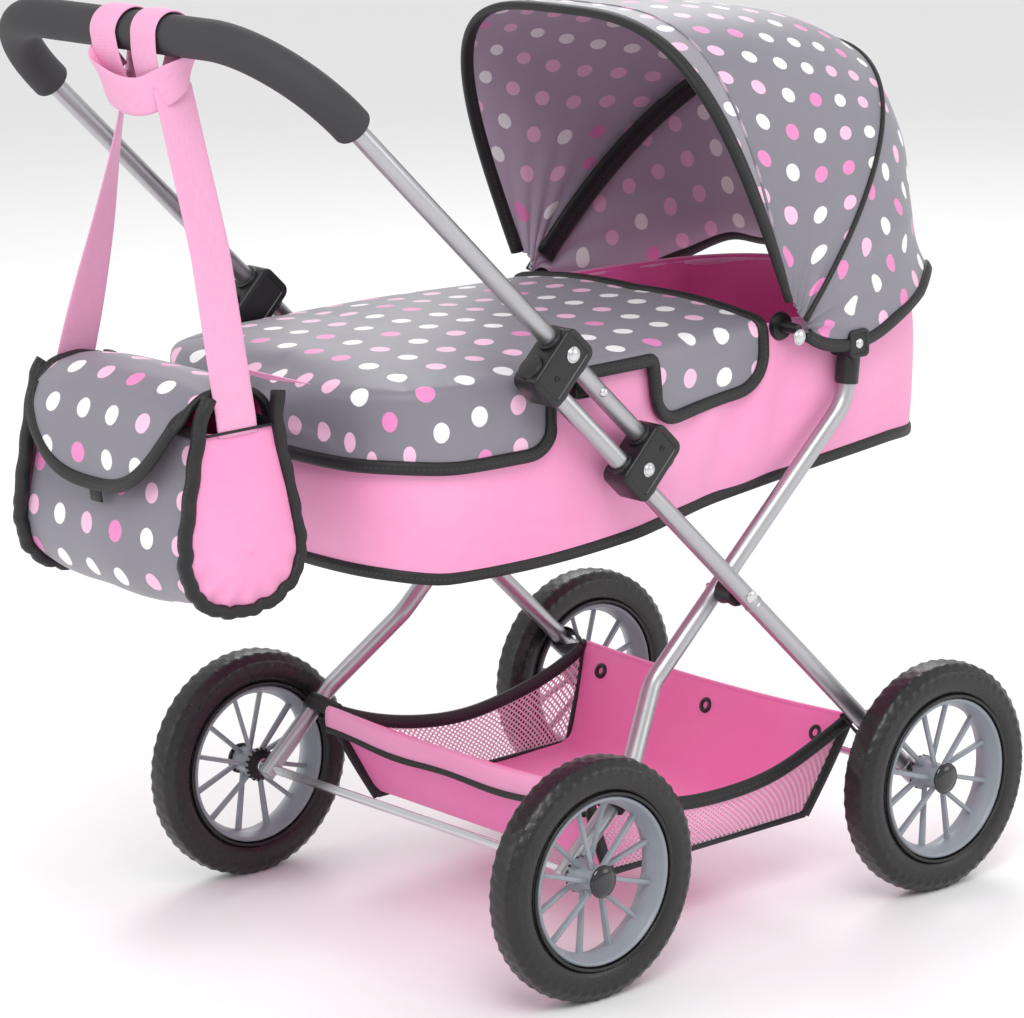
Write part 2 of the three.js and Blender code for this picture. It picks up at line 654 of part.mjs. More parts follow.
// ---------------------------------------------------------------- basket
function basketRing(z, halfX, halfY, count = 32) {
  return Array.from({ length: count }, (_, i) => {
    const angle = ((i + 0.5) * 2 * Math.PI) / count;
    const [c, s] = [Math.cos(angle), Math.sin(angle)];
    const x = halfX * Math.sign(c) * Math.abs(c) ** (2 / 7);
    const y = halfY * Math.sign(s) * Math.abs(s) ** (2 / 7);
    return vec(x, y, typeof z === 'function' ? z(x, y) : z);
  });
}
const basketRim = (x) => 86 + 27 * (x / 112) ** 2;
piece('basket', skin([
  basketRing(48, 70, 104), basketRing(50, 84, 114), basketRing((x) => (50 + basketRim(x)) / 2, 100, 121),
  basketRing(basketRim, 112, 127), basketRing(basketRim, 110.2, 125.2),
  basketRing((x) => (50 + basketRim(x)) / 2, 98.2, 119.2), basketRing(52, 82, 112),
]), PINK_CLOTH);
onBothSides((side, letter) => {
  for (const [end, x, z] of [['front', 108, 111], ['rear', -107, 108]]) {
    const from = 128;
    const to = (end === 'front' ? FRAME_Y : REAR_FOOT_Y - 4) - TUBE_R - 0.6;
    const strap = at(new THREE.BoxGeometry(9, to - from, 12), x, side * (from + to) / 2, z);
    piece(`basket_strap_${end}_${letter}`, strap, BLACK_PLASTIC);
  }
});

// ---------------------------------------------------------------- hanging bag
function bagRing(z, halfX, halfY, count = 28) {
  return Array.from({ length: count }, (_, i) => {
    const angle = ((i + 0.5) * 2 * Math.PI) / count;
    const [c, s] = [Math.cos(angle), Math.sin(angle)];
    const x = BAG_X + halfX * Math.sign(c) * Math.abs(c) ** 0.4;
    const y = BAG_Y + halfY * Math.sign(s) * Math.abs(s) ** 0.4;
    return vec(x, y, z);
  });
}

// Each ring's height, and how much it grows the bag's half depth and half width.
const bagShape = [
  [BAG_FLOOR_Z, -12, -12], [BAG_FLOOR_Z + 6, -3, -3], [300, 0, 0], [340, -1.5, 0], [BAG_MOUTH_Z, -5, 0],
];
const bagOuter = bagShape.map(([z, dx, dy]) => bagRing(z, BAG_HALF_X + dx, BAG_HALF_Y + dy));
const bagInner = [...bagShape].reverse().map(([z, dx, dy]) => {
  const insideZ = z === BAG_FLOOR_Z ? z + BAG_CLOTH : z;
  return bagRing(insideZ, BAG_HALF_X + dx - BAG_CLOTH, BAG_HALF_Y + dy - BAG_CLOTH);
});
piece('bag_body', skin([...bagOuter, ...bagInner]), DOTTED_CLOTH);

function flapGrid(grow) {
  const back = BAG_X + BAG_HALF_X - 5;
  const front = BAG_X - BAG_HALF_X - 2.6;
  const columns = 10;
  const profile = (y) => {
    const droop = 46 * Math.sqrt(Math.max(0, 1 - (y / FLAP_HALF_Y) ** 2 * 0.72));
    const top = BAG_MOUTH_Z + 24 - 5 * (y / FLAP_HALF_Y) ** 2;
    return [
      [back, BAG_MOUTH_Z + 1.5], [back - 8, top - 9], [BAG_X + 8, top], [BAG_X - 14, top - 1],
      [front + 12, top - 9], [front + 1, top - 22],
      [front, top - 34 - droop * 0.15], [front, BAG_MOUTH_Z + 6 - droop],
    ];
  };
  return Array.from({ length: columns + 1 }, (_, c) => {
    const y = lerp(-FLAP_HALF_Y, FLAP_HALF_Y, c / columns);
    const line = profile(y);
    return line.map(([x, z], i) => {
      const before = line[Math.max(0, i - 1)];
      const after = line[Math.min(line.length - 1, i + 1)];
      const normal = new THREE.Vector2(after[1] - before[1], before[0] - after[0]).normalize();
      return vec(x + normal.x * grow, BAG_Y + y, z + normal.y * grow);
    });
  });
}
piece('bag_flap', thickSheet(flapGrid(1.6), flapGrid(0)), DOTTED_CLOTH);

const BAR = onLeg(CROSSBAR, ARM_OFFSET, 0);
const KNOT = { x: BAG_X, y: -2, z: BAR.z - GRIP_R - 9, depth: 24, width: 52, height: 17 };
const LOOP_IN = GRIP_R + 0.6;
const LOOP_OUT = GRIP_R + 3;
const WEBBING_HALF = 1.1;
onBothSides((side, letter) => {
  const foot = BAG_Y + side * (BAG_HALF_Y + 2);
  const top = side * 21 + KNOT.y;
  const ring = (z, y) => [[-1, -1], [1, -1], [1, 1], [-1, 1]].map(
    ([i, j]) => vec(BAG_X + i * STRAP_HALF, y + j * WEBBING_HALF, z));
  const rings = [ring(350, foot), ring(374, foot), ring(KNOT.z - 10, top)];
  piece(`bag_strap_${letter}`, skin(rings), PINK_WEBBING);
});
const hitch = turned([
  [LOOP_IN, HITCH_SPAN[0]], [LOOP_OUT, HITCH_SPAN[0]], [LOOP_OUT, HITCH_SPAN[1]], [LOOP_IN, HITCH_SPAN[1]],
], 16, true);
at(hitch, BAR.x, 0, BAR.z);
const knotBand = at(new THREE.BoxGeometry(KNOT.depth, KNOT.width, KNOT.height), KNOT.x, KNOT.y, KNOT.z);
const barRoom = at(pinAcross(LOOP_IN, -60, 60, 16), BAR.x, 0, BAR.z);
piece('bag_hitch', cut(join(hitch, knotBand), barRoom), PINK_WEBBING);

export default pram;
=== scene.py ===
"""A doll's pram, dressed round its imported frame.

Spoked wheels, bent tubes, a foam grip, clamps, a soft carrycot with its mattress and cover, a folding
hood, a net basket and a hanging bag. Sizes are in millimetres, X running from the point on the ground
midway between the axles, unless a name says metres. Finished meshes are in metres in the frame's place.
"""

import json
import logging
import math
from collections.abc import Callable, Iterable, Sequence
from dataclasses import dataclass, field
from enum import Enum

import bmesh
import bpy
import numpy as np
from mathutils import Matrix, Vector

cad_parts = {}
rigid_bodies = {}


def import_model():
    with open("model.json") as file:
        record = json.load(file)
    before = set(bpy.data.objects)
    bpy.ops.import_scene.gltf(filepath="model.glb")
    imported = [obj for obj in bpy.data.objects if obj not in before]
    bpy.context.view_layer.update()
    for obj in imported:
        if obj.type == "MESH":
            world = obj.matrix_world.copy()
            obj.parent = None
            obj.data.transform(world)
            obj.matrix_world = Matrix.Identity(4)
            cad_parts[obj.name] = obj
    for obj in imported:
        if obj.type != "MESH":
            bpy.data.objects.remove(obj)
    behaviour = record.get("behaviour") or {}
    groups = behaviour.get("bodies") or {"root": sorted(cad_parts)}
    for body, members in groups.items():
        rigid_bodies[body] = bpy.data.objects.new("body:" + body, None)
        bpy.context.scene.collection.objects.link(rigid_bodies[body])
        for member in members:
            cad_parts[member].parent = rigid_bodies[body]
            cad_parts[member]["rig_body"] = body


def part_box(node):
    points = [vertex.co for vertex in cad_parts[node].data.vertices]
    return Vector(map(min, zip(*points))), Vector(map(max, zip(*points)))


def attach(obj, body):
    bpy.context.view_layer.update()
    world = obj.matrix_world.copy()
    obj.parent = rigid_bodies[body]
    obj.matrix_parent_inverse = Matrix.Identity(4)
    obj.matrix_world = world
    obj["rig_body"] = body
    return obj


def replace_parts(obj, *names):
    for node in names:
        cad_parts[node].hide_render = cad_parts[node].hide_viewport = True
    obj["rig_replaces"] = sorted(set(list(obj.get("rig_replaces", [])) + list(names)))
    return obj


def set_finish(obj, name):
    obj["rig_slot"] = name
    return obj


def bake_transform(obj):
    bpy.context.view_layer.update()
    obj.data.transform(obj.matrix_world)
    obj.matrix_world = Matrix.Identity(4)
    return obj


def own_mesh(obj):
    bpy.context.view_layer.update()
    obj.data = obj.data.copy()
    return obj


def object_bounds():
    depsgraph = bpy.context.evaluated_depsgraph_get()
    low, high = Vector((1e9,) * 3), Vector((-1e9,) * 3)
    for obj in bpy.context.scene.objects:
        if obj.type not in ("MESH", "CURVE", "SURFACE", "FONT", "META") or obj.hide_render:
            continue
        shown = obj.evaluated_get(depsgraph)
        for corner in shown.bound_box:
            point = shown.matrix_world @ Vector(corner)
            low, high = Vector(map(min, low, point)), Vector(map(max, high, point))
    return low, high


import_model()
CAD_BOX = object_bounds()

LOG = logging.getLogger("pram")
MM = 0.001
SIDES = (("L", 1), ("R", -1))
ENDS = ("front", "rear")
Points = np.ndarray
Obj = bpy.types.Object


def node_centre(node: str) -> Vector:
    """The middle of a CAD node's box, in metres."""
    low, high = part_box(node)
    return (low + high) / 2


MIDWAY_X = (node_centre("axle_front").x + node_centre("axle_rear").x) / 2


def spot(x: float, y: float, z: float) -> Vector:
    """A point in metres, from millimetres measured midway between the axles."""
    return Vector((x * MM + MIDWAY_X, y * MM, z * MM))


def lerp(a: float, b: float, t: float) -> float:
    """The value a share t of the way from a to b."""
    return a + (b - a) * t


def smooth(x: Points | float, low: float, high: float) -> Points | float:
    """A smooth step of x, 0 up to low and 1 from high on."""
    t = np.clip((np.asarray(x, float) - low) / (high - low), 0, 1)
    return t * t * (3 - 2 * t)


# ---------------------------------------------------------------- shader nodes
class Graph:
    """Writes nodes into one shader tree."""

    def __init__(self, tree: bpy.types.NodeTree) -> None:
        """Keeps the tree that the nodes go into."""
        self.tree = tree

    def add(self, kind: str, inputs: dict | None = None, **settings: object) -> bpy.types.Node:
        """Adds a node.

        Args:
            kind: the node's type, without its "ShaderNode" prefix.
            inputs: values, or sockets to link from, by input name or index.
            settings: attributes of the node itself.

        Returns:
            The new node.
        """
        made = self.tree.nodes.new("ShaderNode" + kind)
        for key, value in settings.items():
            setattr(made, key, value)
        for key, value in (inputs or {}).items():
            if isinstance(value, bpy.types.NodeSocket):
                self.tree.links.new(value, made.inputs[key])
            else:
                made.inputs[key].default_value = value
        return made

    def math(self, operation: str, a: object, b: object = 0.0, c: object = 0.0) -> bpy.types.NodeSocket:
        """The output of a Math node of up to three values or sockets."""
        return self.add("Math", {0: a, 1: b, 2: c}, operation=operation).outputs[0]

    def vector(self, operation: str, a: object, b: object = (0.0, 0.0, 0.0)) -> bpy.types.Node:
        """A Vector Math node of two vectors or sockets."""
        return self.add("VectorMath", {0: a, 1: b}, operation=operation)

    def mix(self, share: object, a: object, b: object, blend: str = "MIX") -> bpy.types.NodeSocket:
        """A colour mixed from a to b by share.

        Args:
            share: how much of b, a number or a socket.
            a: the first colour or socket.
            b: the second colour or socket.
            blend: the way the two mix.

        Returns:
            The mixed colour's socket.
        """
        made = self.add("Mix", data_type="RGBA", blend_type=blend)
        for socket, value in ((made.inputs[0], share), (made.inputs[6], a), (made.inputs[7], b)):
            if isinstance(value, bpy.types.NodeSocket):
                self.tree.links.new(value, socket)
            else:
                socket.default_value = value
        return made.outputs[2]


def effect(name: str, inputs: dict[str, tuple[str, object]], outputs: dict[str, str],
           write: Callable[[Graph, bpy.types.Node], dict[str, bpy.types.NodeSocket]]) -> bpy.types.NodeTree:
    """A shader node group that several finishes share, built once.

    Args:
        name: the group's name.
        inputs: each input's socket type and default value, by name.
        outputs: each output's socket type, by name.
        write: writes the nodes and returns the socket for each output.

    Returns:
        The group.
    """
    found = bpy.data.node_groups.get(name)
    if found:
        return found
    group = bpy.data.node_groups.new(name, "ShaderNodeTree")
    for title, (kind, value) in inputs.items():
        socket = group.interface.new_socket(name=title, in_out="INPUT", socket_type="NodeSocket" + kind)
        if value is not None:
            socket.default_value = value
    for title, kind in outputs.items():
        group.interface.new_socket(name=title, in_out="OUTPUT", socket_type="NodeSocket" + kind)
    entry, leave = group.nodes.new("NodeGroupInput"), group.nodes.new("NodeGroupOutput")
    for title, socket in write(Graph(group), entry).items():
        group.links.new(socket, leave.inputs[title])
    return group


def write_weave(graph: Graph, entry: bpy.types.Node) -> dict[str, bpy.types.NodeSocket]:
    """Crossed threads: a height for a bump and a faint light and dark of the threads."""
    scaled = graph.vector("SCALE", entry.outputs["Vector"])
    graph.tree.links.new(entry.outputs["Threads"], scaled.inputs["Scale"])
    split = graph.add("SeparateXYZ", {0: scaled.outputs[0]})
    across = graph.math("SINE", graph.math("MULTIPLY", split.outputs[0], math.tau))
    along = graph.math("SINE", graph.math("MULTIPLY", split.outputs[1], math.tau))
    crossed = graph.math("MULTIPLY", across, along)
    height = graph.math("MULTIPLY_ADD", crossed, 0.5, 0.5)
    uneven = graph.add("TexNoise", {"Vector": entry.outputs["Vector"], "Scale": 90.0, "Detail": 3.0})
    shade = graph.math("MULTIPLY_ADD", height, 0.12, graph.math("MULTIPLY", uneven.outputs[0], 0.2))
    return {"Height": height, "Shade": shade}


def write_creases(graph: Graph, entry: bpy.types.Node) -> dict[str, bpy.types.NodeSocket]:
    """The soft creases and painted shading of loose cloth: a height, and from a broad noise the share of the painted
    shade colour.
    """
    bent = graph.add("TexNoise", {"Vector": entry.outputs["Vector"], "Scale": entry.outputs["Scale"],
                                  "Detail": 2.0, "Distortion": 0.6})
    ridged = graph.math("ABSOLUTE", graph.math("SUBTRACT", bent.outputs[0], 0.5))
    broad = graph.add("TexNoise", {"Vector": entry.outputs["Vector"], "Scale": 7.0, "Detail": 1.0})
    return {"Height": ridged, "Shade": broad.outputs[0]}


def write_grain(graph: Graph, entry: bpy.types.Node) -> dict[str, bpy.types.NodeSocket]:
    """A moulded or drawn surface's fine grain: a height, and an uneven value for colour and gloss."""
    fine = graph.add("TexNoise", {"Vector": entry.outputs["Vector"], "Scale": entry.outputs["Scale"],
                                  "Detail": 4.0, "Roughness": 0.6})
    broad = graph.add("TexNoise", {"Vector": entry.outputs["Vector"], "Scale": 18.0, "Detail": 2.0})
    value = graph.math("MULTIPLY_ADD", fine.outputs[0], 0.4, graph.math("MULTIPLY", broad.outputs[0], 0.6))
    return {"Height": fine.outputs[0], "Value": value}


def write_dots(graph: Graph, entry: bpy.types.Node) -> dict[str, bpy.types.NodeSocket]:
    """Printed dots on a square-set grid: where they are, and a tint number for each dot."""
    pitch = (0.0295, 0.0262, 1.0)
    cells = graph.vector("DIVIDE", entry.outputs["Vector"], pitch).outputs[0]
    inside = graph.vector("SUBTRACT", graph.vector("FRACTION", cells).outputs[0], (0.5, 0.5, 0.0)).outputs[0]
    inside = graph.vector("MULTIPLY", inside, (pitch[0], pitch[1], 0.0)).outputs[0]
    away = graph.vector("LENGTH", inside).outputs["Value"]
    edge = graph.add("MapRange", {"Value": away, "From Min": 0.00575, "From Max": 0.00625,
                                  "To Min": 1.0, "To Max": 0.0})
    cell = graph.vector("FLOOR", cells).outputs[0]
    tint = graph.add("TexWhiteNoise", {"Vector": cell}, noise_dimensions="3D")
    return {"Mask": edge.outputs[0], "Tint": tint.outputs["Value"]}


def weave_group() -> bpy.types.NodeTree:
    """The shared group of crossed threads."""
    return effect("Weave", {"Vector": ("Vector", None), "Threads": ("Float", 1100.0)},
                  {"Height": "Float", "Shade": "Float"}, write_weave)


def crease_group() -> bpy.types.NodeTree:
    """The shared group of soft creases."""
    return effect("Creases", {"Vector": ("Vector", None), "Scale": ("Float", 16.0)},
                  {"Height": "Float", "Shade": "Float"}, write_creases)


def grain_group() -> bpy.types.NodeTree:
    """The shared group of fine grain."""
    return effect("Grain", {"Vector": ("Vector", None), "Scale": ("Float", 900.0)},
                  {"Height": "Float", "Value": "Float"}, write_grain)


def dot_group() -> bpy.types.NodeTree:
    """The shared group of printed dots."""
    return effect("Dots", {"Vector": ("Vector", None)}, {"Mask": "Float", "Tint": "Float"}, write_dots)


Colour = tuple[float, float, float]
CLOTH_UV = "cloth"


def opaque(colour: Colour) -> tuple[float, float, float, float]:
    """The colour with an alpha of 1."""
    return (*colour, 1.0)


@dataclass(frozen=True)
class Finish:
    """What every finish has: a name, a base colour and the shader's plain values."""

    name: str
    colour: Colour
    roughness: float = 0.5
    metallic: float = 0.0
    sheen: float = 0.0
    coat: float = 0.0

    def material(self) -> bpy.types.Material:
        """The finish's material, built the first time it is asked for."""
        name = f"look_{self.name}"
        found = bpy.data.materials.get(name)
        if found:
            return found
        made = bpy.data.materials.new(name)
        made.use_nodes = True
        made.diffuse_color = opaque(self.colour)
        graph = Graph(made.node_tree)
        shader = made.node_tree.nodes["Principled BSDF"]
        for socket, value in (("Base Color", opaque(self.colour)), ("Roughness", self.roughness),
                              ("Metallic", self.metallic), ("Sheen Weight", self.sheen),
                              ("Coat Weight", self.coat)):
            shader.inputs[socket].default_value = value
        self.detail(graph, shader)
        return made

    def detail(self, graph: Graph, shader: bpy.types.Node) -> None:
        """Adds the finish's own nodes. The plain finish has a fine grain."""
        add_grain(graph, shader, self.colour, self.roughness, 900.0, 0.15, 0.00004)


def bump(graph: Graph, shader: bpy.types.Node, height: bpy.types.NodeSocket, depth: float,
         strength: float = 1.0) -> bpy.types.Node:
    """Feeds a height to the shader's normal.

    Args:
        graph: where the node goes.
        shader: the shader it feeds.
        height: the height's socket, from 0 to 1.
        depth: what a height of 1 is, in metres.
        strength: how much of the bump shows.

    Returns:
        The Bump node.
    """
    made = graph.add("Bump", {"Height": height, "Distance": depth, "Strength": strength})
    graph.tree.links.new(made.outputs[0], shader.inputs["Normal"])
    return made


def add_grain(graph: Graph, shader: bpy.types.Node, colour: Colour, roughness: float, scale: float,
              contrast: float, depth: float) -> bpy.types.Node:
    """Gives a hard surface its grain in colour, gloss and height.

    Args:
        graph: where the nodes go.
        shader: the shader they feed.
        colour: the middle colour.
        roughness: the middle roughness.
        scale: how fine the grain is, in grains a metre.
        contrast: how far the colour strays, as a share.
        depth: how deep the grain is, in metres.

    Returns:
        The grain group's node.
    """
    place = graph.add("TexCoord").outputs["Object"]
    grain = graph.add("Group", node_tree=grain_group())
    graph.tree.links.new(place, grain.inputs["Vector"])
    grain.inputs["Scale"].default_value = scale
    dark = tuple(channel * (1 - contrast) for channel in colour)
    light = tuple(min(1.0, channel * (1 + contrast)) for channel in colour)
    tinted = graph.mix(grain.outputs["Value"], opaque(dark), opaque(light))
    graph.tree.links.new(tinted, shader.inputs["Base Color"])
    gloss = graph.add("MapRange", {"Value": grain.outputs["Value"], "From Min": 0.3, "From Max": 0.7,
                                   "To Min": roughness * 0.85, "To Max": min(1.0, roughness * 1.15)})
    graph.tree.links.new(gloss.outputs[0], shader.inputs["Roughness"])
    bump(graph, shader, grain.outputs["Height"], depth)
    return grain


@dataclass(frozen=True)
class DrawnMetal(Finish):
    """Tube or rod with faint lines drawn along one direction and a little handling haze."""

    along: Colour = (40.0, 40.0, 40.0)

    def detail(self, graph: Graph, shader: bpy.types.Node) -> None:
        """Adds the drawn lines and the haze."""
        place = graph.add("TexCoord").outputs["Object"]
        stretched = graph.vector("MULTIPLY", place, self.along).outputs[0]
        lines = graph.add("TexNoise", {"Vector": stretched, "Scale": 22.0, "Detail": 5.0})
        haze = graph.add("TexNoise", {"Vector": place, "Scale": 26.0, "Detail": 3.0})
        rough = graph.add("MapRange", {"Value": haze.outputs[0], "From Min": 0.35, "From Max": 0.65,
                                       "To Min": self.roughness - 0.06, "To Max": self.roughness + 0.08})
        graph.tree.links.new(rough.outputs[0], shader.inputs["Roughness"])
        dark = tuple(channel * 0.88 for channel in self.colour)
        tinted = graph.mix(lines.outputs[0], opaque(dark), opaque(self.colour))
        graph.tree.links.new(tinted, shader.inputs["Base Color"])
        bump(graph, shader, lines.outputs[0], 0.00002, 0.6)


@dataclass(frozen=True)
class Moulded(Finish):
    """Moulded plastic or foam with a grain of its own scale and depth."""

    scale: float = 900.0
    contrast: float = 0.15
    depth: float = 0.00004

    def detail(self, graph: Graph, shader: bpy.types.Node) -> None:
        """Adds the grain."""
        add_grain(graph, shader, self.colour, self.roughness, self.scale, self.contrast, self.depth)


@dataclass(frozen=True)
class TyreFoam(Finish):
    """Closed-cell tyre foam: mottled black, with small pits and shiny flecks on the tread."""

    def detail(self, graph: Graph, shader: bpy.types.Node) -> None:
        """Adds the mottling, the pits and the flecks."""
        grain = add_grain(graph, shader, self.colour, self.roughness, 420.0, 0.35, 0.00018)
        place = graph.add("TexCoord").outputs["Object"]
        cells = graph.add("TexVoronoi", {"Vector": place, "Scale": 230.0, "Randomness": 1.0})
        fleck = graph.add("MapRange", {"Value": cells.outputs["Distance"], "From Min": 0.1,
                                       "From Max": 0.3, "To Min": 1.0, "To Max": 0.0})
        gloss = graph.math("MULTIPLY_ADD", fleck.outputs[0], -0.16, self.roughness)
        graph.tree.links.new(gloss, shader.inputs["Roughness"])
        height = graph.math("MULTIPLY_ADD", fleck.outputs[0], 0.5, grain.outputs["Height"])
        bump(graph, shader, height, 0.00022, 0.8)


@dataclass(frozen=True)
class Cloth(Finish):
    """Woven cloth that carries its own flat map: threads, soft creases, and a darker colour in broad random patches as
    painted fold shading.
    """

    # The darker colour is painted shade standing in for the cloth's fold shading.
    shade_colour: Colour = (0.5, 0.1, 0.3)
    threads: float = 1100.0
    crease: float = 0.0007
    painted_shade_share: float = 0.35

    def weave(self, graph: Graph, shader: bpy.types.Node) -> bpy.types.NodeSocket:
        """Adds threads and creases to the shader's normal.

        Args:
            graph: where the nodes go.
            shader: the shader they feed.

        Returns:
            The socket that says how much of the painted shade colour shows.
        """
        flat = graph.add("UVMap", uv_map=CLOTH_UV).outputs[0]
        place = graph.add("TexCoord").outputs["Object"]
        threads = graph.add("Group", node_tree=weave_group())
        graph.tree.links.new(flat, threads.inputs["Vector"])
        threads.inputs["Threads"].default_value = self.threads
        creases = graph.add("Group", node_tree=crease_group())
        graph.tree.links.new(place, creases.inputs["Vector"])
        fine = graph.add("Bump", {"Height": threads.outputs["Height"], "Distance": 0.00006})
        broad = bump(graph, shader, creases.outputs["Height"], self.crease)
        graph.tree.links.new(fine.outputs[0], broad.inputs["Normal"])
        # A broad noise lays painted fold shading over the cloth, up to this share of the shade colour.
        share = graph.add("MapRange", {"Value": creases.outputs["Shade"], "From Min": 0.35,
                                       "From Max": 0.7, "To Min": 0.0, "To Max": self.painted_shade_share})
        return graph.math("ADD", share.outputs[0], threads.outputs["Shade"])

    def detail(self, graph: Graph, shader: bpy.types.Node) -> None:
        """Adds the weave, and the colour with its painted shade."""
        share = self.weave(graph, shader)
        tinted = graph.mix(share, opaque(self.colour), opaque(self.shade_colour))
        graph.tree.links.new(tinted, shader.inputs["Base Color"])


@dataclass(frozen=True)
class DottedCloth(Cloth):
    """Satin cloth printed with dots in three tints."""

    tints: tuple[Colour, Colour, Colour] = ((0.93, 0.90, 0.92), (0.90, 0.52, 0.72), (0.79, 0.24, 0.52))

    def detail(self, graph: Graph, shader: bpy.types.Node) -> None:
        """Adds the weave, the ground colour with its painted shade, and the dots over it."""
        share = self.weave(graph, shader)
        ground = graph.mix(share, opaque(self.colour), opaque(self.shade_colour))
        flat = graph.add("UVMap", uv_map=CLOTH_UV).outputs[0]
        dots = graph.add("Group", node_tree=dot_group())
        graph.tree.links.new(flat, dots.inputs["Vector"])
        ramp = graph.add("ValToRGB", {0: dots.outputs["Tint"]})
        ramp.color_ramp.interpolation = "CONSTANT"
        stops = ramp.color_ramp.elements
        stops[0].color, stops[1].color = opaque(self.tints[0]), opaque(self.tints[1])
        stops[1].position = 0.36
        stops.new(0.76).color = opaque(self.tints[2])
        tinted = graph.mix(dots.outputs["Mask"], ground, ramp.outputs[0])
        graph.tree.links.new(tinted, shader.inputs["Base Color"])


@dataclass(frozen=True)
class Tape(Finish):
    """Ribbed binding tape or webbing: ribs along the flat map's length and a line of stitches."""

    ribs: float = 700.0
    thread: Colour = (0.02, 0.02, 0.025)
    stitch_at: float = 0.5

    def detail(self, graph: Graph, shader: bpy.types.Node) -> None:
        """Adds the ribs and the stitches."""
        flat = graph.add("UVMap", uv_map=CLOTH_UV).outputs[0]
        split = graph.add("SeparateXYZ", {0: flat})
        ribs = graph.math("SINE", graph.math("MULTIPLY", split.outputs[0], self.ribs * math.tau))
        uneven = graph.add("TexNoise", {"Vector": flat, "Scale": 120.0, "Detail": 2.0})
        pulse = graph.math("SINE", graph.math("MULTIPLY", split.outputs[0], 300.0 * math.tau))
        on = graph.math("GREATER_THAN", pulse, -0.3)
        off_line = graph.math("ABSOLUTE", graph.math("SUBTRACT", split.outputs[1], self.stitch_at))
        near = graph.math("LESS_THAN", off_line, 0.045)
        stitch = graph.math("MULTIPLY", on, near)
        dark = tuple(channel * 0.72 for channel in self.colour)
        ground = graph.mix(uneven.outputs[0], opaque(dark), opaque(self.colour))
        tinted = graph.mix(stitch, ground, opaque(self.thread))
        graph.tree.links.new(tinted, shader.inputs["Base Color"])
        height = graph.math("MULTIPLY_ADD", ribs, 0.3, graph.math("MULTIPLY", stitch, 0.9))
        bump(graph, shader, height, 0.00012, 0.7)


@dataclass(frozen=True)
class Net(Finish):
    """Knitted net: diamond holes cut through by alpha, on the flat map."""

    holes: float = 330.0
    open_share: float = 0.36

    def detail(self, graph: Graph, shader: bpy.types.Node) -> None:
        """Adds the holes and the strands' roundness."""
        flat = graph.add("UVMap", uv_map=CLOTH_UV).outputs[0]
        turned = graph.add("Mapping", {"Vector": flat, "Rotation": (0.0, 0.0, math.pi / 4),
                                       "Scale": (self.holes, self.holes, 1.0)}).outputs[0]
        split = graph.add("SeparateXYZ", {0: turned})
        waves = [graph.math("COSINE", graph.math("MULTIPLY", split.outputs[i], math.tau)) for i in (0, 1)]
        strand = graph.math("MAXIMUM", *waves)
        solid = graph.add("MapRange", {"Value": strand, "From Min": self.open_share,
                                       "From Max": self.open_share + 0.2})
        graph.tree.links.new(solid.outputs[0], shader.inputs["Alpha"])
        bump(graph, shader, strand, 0.0002, 0.6)


